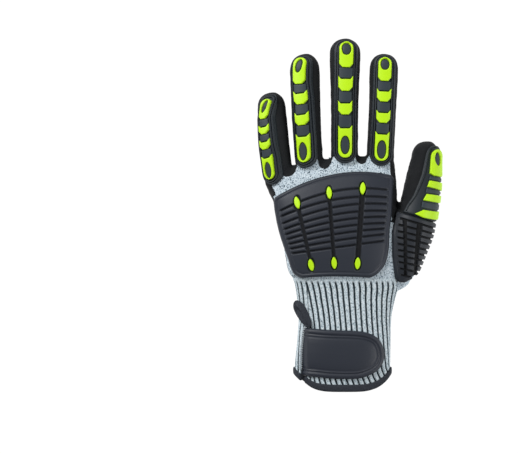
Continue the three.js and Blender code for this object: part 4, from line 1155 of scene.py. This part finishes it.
def buildBinding():
    y = palmRows[0, 1]
    _, total = anglesAt(0, 0)
    opened, near, far = slitAt(y, total)
    share = np.linspace(near - binding["overlap"], far + binding["overlap"], binding["steps"])
    angle, _ = anglesAt(0, share)
    lift = cuffLift(share, angle, y, total, opened)
    rings = np.stack([palmSurface(0 * angle, angle, depth + lift, rise)
                      for depth, rise in binding["profile"]], 1)
    mesh = joined("binding", [(sweptRings(rings), 0)])
    addPiece("hem_binding_dressed", mesh, ["tape"], ["hem_binding"], 60)


buildBinding()


# A tape or thread of oval section along a path, with its wide side turned by twist
def sweptTape(path, wide, thick, twist, outs, around, sides=14):
    run = np.gradient(path, axis=0)
    if around:
        run = np.roll(path, -1, 0) - np.roll(path, 1, 0)
    run /= np.linalg.norm(run, axis=1, keepdims=True)
    side = np.cross(run, outs)
    side /= np.linalg.norm(side, axis=1, keepdims=True)
    up = np.cross(side, run)
    c, s = np.cos(twist)[:, None], np.sin(twist)[:, None]
    across, above = side * c + up * s, up * c - side * s
    x, y = oval(0, 0, wide / 2, thick / 2, power=2.6, count=sides).T[..., None]
    return sweptRings(path[:, None] + across[:, None] * x + above[:, None] * y, around)


# Loop of folded tape at the top of the slit, twisted once
tapeLoop = {"x": -37.4, "y": -78.9, "halfLength": 9.4, "halfWidth": 2.3, "tilt": 28.0,
            "wide": 5.0, "thick": 1.5, "twist": 0.7}


def buildTapeLoop():
    host = hostFromAbove((-52, -22), (-98, -62))
    turn = np.linspace(0, 2 * np.pi, 60, endpoint=False)
    tilt = math.radians(tapeLoop["tilt"])
    narrow = tapeLoop["halfWidth"] * np.sin(turn) * (1 + 0.35 * np.cos(turn))
    along = tapeLoop["halfLength"] * np.cos(turn)
    u = tapeLoop["x"] + narrow * math.cos(tilt) - along * math.sin(tilt)
    v = tapeLoop["y"] + narrow * math.sin(tilt) + along * math.cos(tilt)
    path = onHost(host, u, v, 1.2 + 0.5 * np.sin(turn))
    outs = onHost(host, u, v, 0 * u + 1) - onHost(host, u, v, 0 * u)
    twist = tapeLoop["twist"] * np.sin(turn)
    tape = sweptTape(path, tapeLoop["wide"], tapeLoop["thick"], twist, outs, True)
    mesh = joined("loop", [(tape, 0)])
    addPiece("slit_tape_loop_dressed", mesh, ["tape"], ["slit_tape_loop"], 60)


buildTapeLoop()


# Overlock thread over the left edge of the slit
overlock = {"pitch": 1.5, "perTurn": 10, "thick": 0.8, "reach": [1.15, 1.05]}


def buildOverlock():
    edge = flapEdge[(flapEdge[:, 1] < -88) & (flapEdge[:, 1] > -124)][::-1]
    turns = int(abs(edge[-1, 1] - edge[0, 1]) / overlock["pitch"])
    steps = turns * overlock["perTurn"]
    t = np.linspace(0, len(edge) - 1, steps)
    centre = np.stack([np.interp(t, np.arange(len(edge)), edge[:, k]) for k in range(3)], -1)
    turn = np.linspace(0, turns * 2 * np.pi, steps)
    wide, high = overlock["reach"]
    path = centre + np.stack([wide * np.cos(turn) - 0.2, 0 * turn, high * np.sin(turn) + 0.1], -1)
    outs = np.tile([0.0, 1.0, 0.0], (steps, 1))
    thread = sweptTape(path, overlock["thick"], overlock["thick"], 0 * turn, outs, False, 6)
    mesh = joined("overlock", [(thread, 0)])
    addPiece("slit_overlock", mesh, ["thread"], [])


buildOverlock()
print("trims")


# Studio: a light table that shows pure white, a soft window light and a weaker fill, both turned
# to the glove, and a long lens above it. A light has its power, size and place. Lengths are metres.
studio = {
    "table": 1.03, "world": 0.2,
    "lights": {"window": [24.5, (1.0, 0.7), (-0.9, 1.0, 1.0)],
               "fill": [8.6, (0.8, 0.8), (1.1, -0.3, 0.8)]},
    "camera": [-0.0724, -0.0096, 2.0], "sensor": 36, "lens": 171.7,
}


def addLight(name, power, size, location):
    light = bpy.data.lights.new(name, "AREA")
    light.energy = power
    light.shape = "RECTANGLE"
    light.size, light.size_y = size
    obj = newObject(name, light)
    obj.location = location
    obj.rotation_euler = (-Vector(location)).to_track_quat("-Z", "Y").to_euler()


def buildStudio():
    floorMesh = bpy.data.meshes.new("table")
    floorMesh.from_pydata([(-3, -3, 0), (3, -3, 0), (3, 3, 0), (-3, 3, 0)], [], [(0, 1, 2, 3)])
    floor = newObject("table", floorMesh)
    material, tree, shader = newMaterial("light table", "#000000", 0.9)
    feed(tree, shader, {"Emission Color": (1, 1, 1, 1), "Emission Strength": studio["table"]})
    floorMesh.materials.append(material)
    floor.location.z = -0.0005
    world = bpy.data.worlds.new("studio")
    world.use_nodes = True
    tree = world.node_tree
    feed(tree, tree.nodes["Background"], {"Color": (1, 1, 1, 1), "Strength": studio["world"]})
    bpy.context.scene.world = world
    for name, light in studio["lights"].items():
        addLight(name, *light)


buildStudio()
print("studio")

camera = newObject("camera", bpy.data.cameras.new("camera"))
camera.data.sensor_width = studio["sensor"]
camera.data.lens = studio["lens"]
camera.location = np.array(studio["camera"]) + drawnShift * metre
bpy.context.scene.camera = camera

bpy.context.scene.view_settings.view_transform = "Standard"
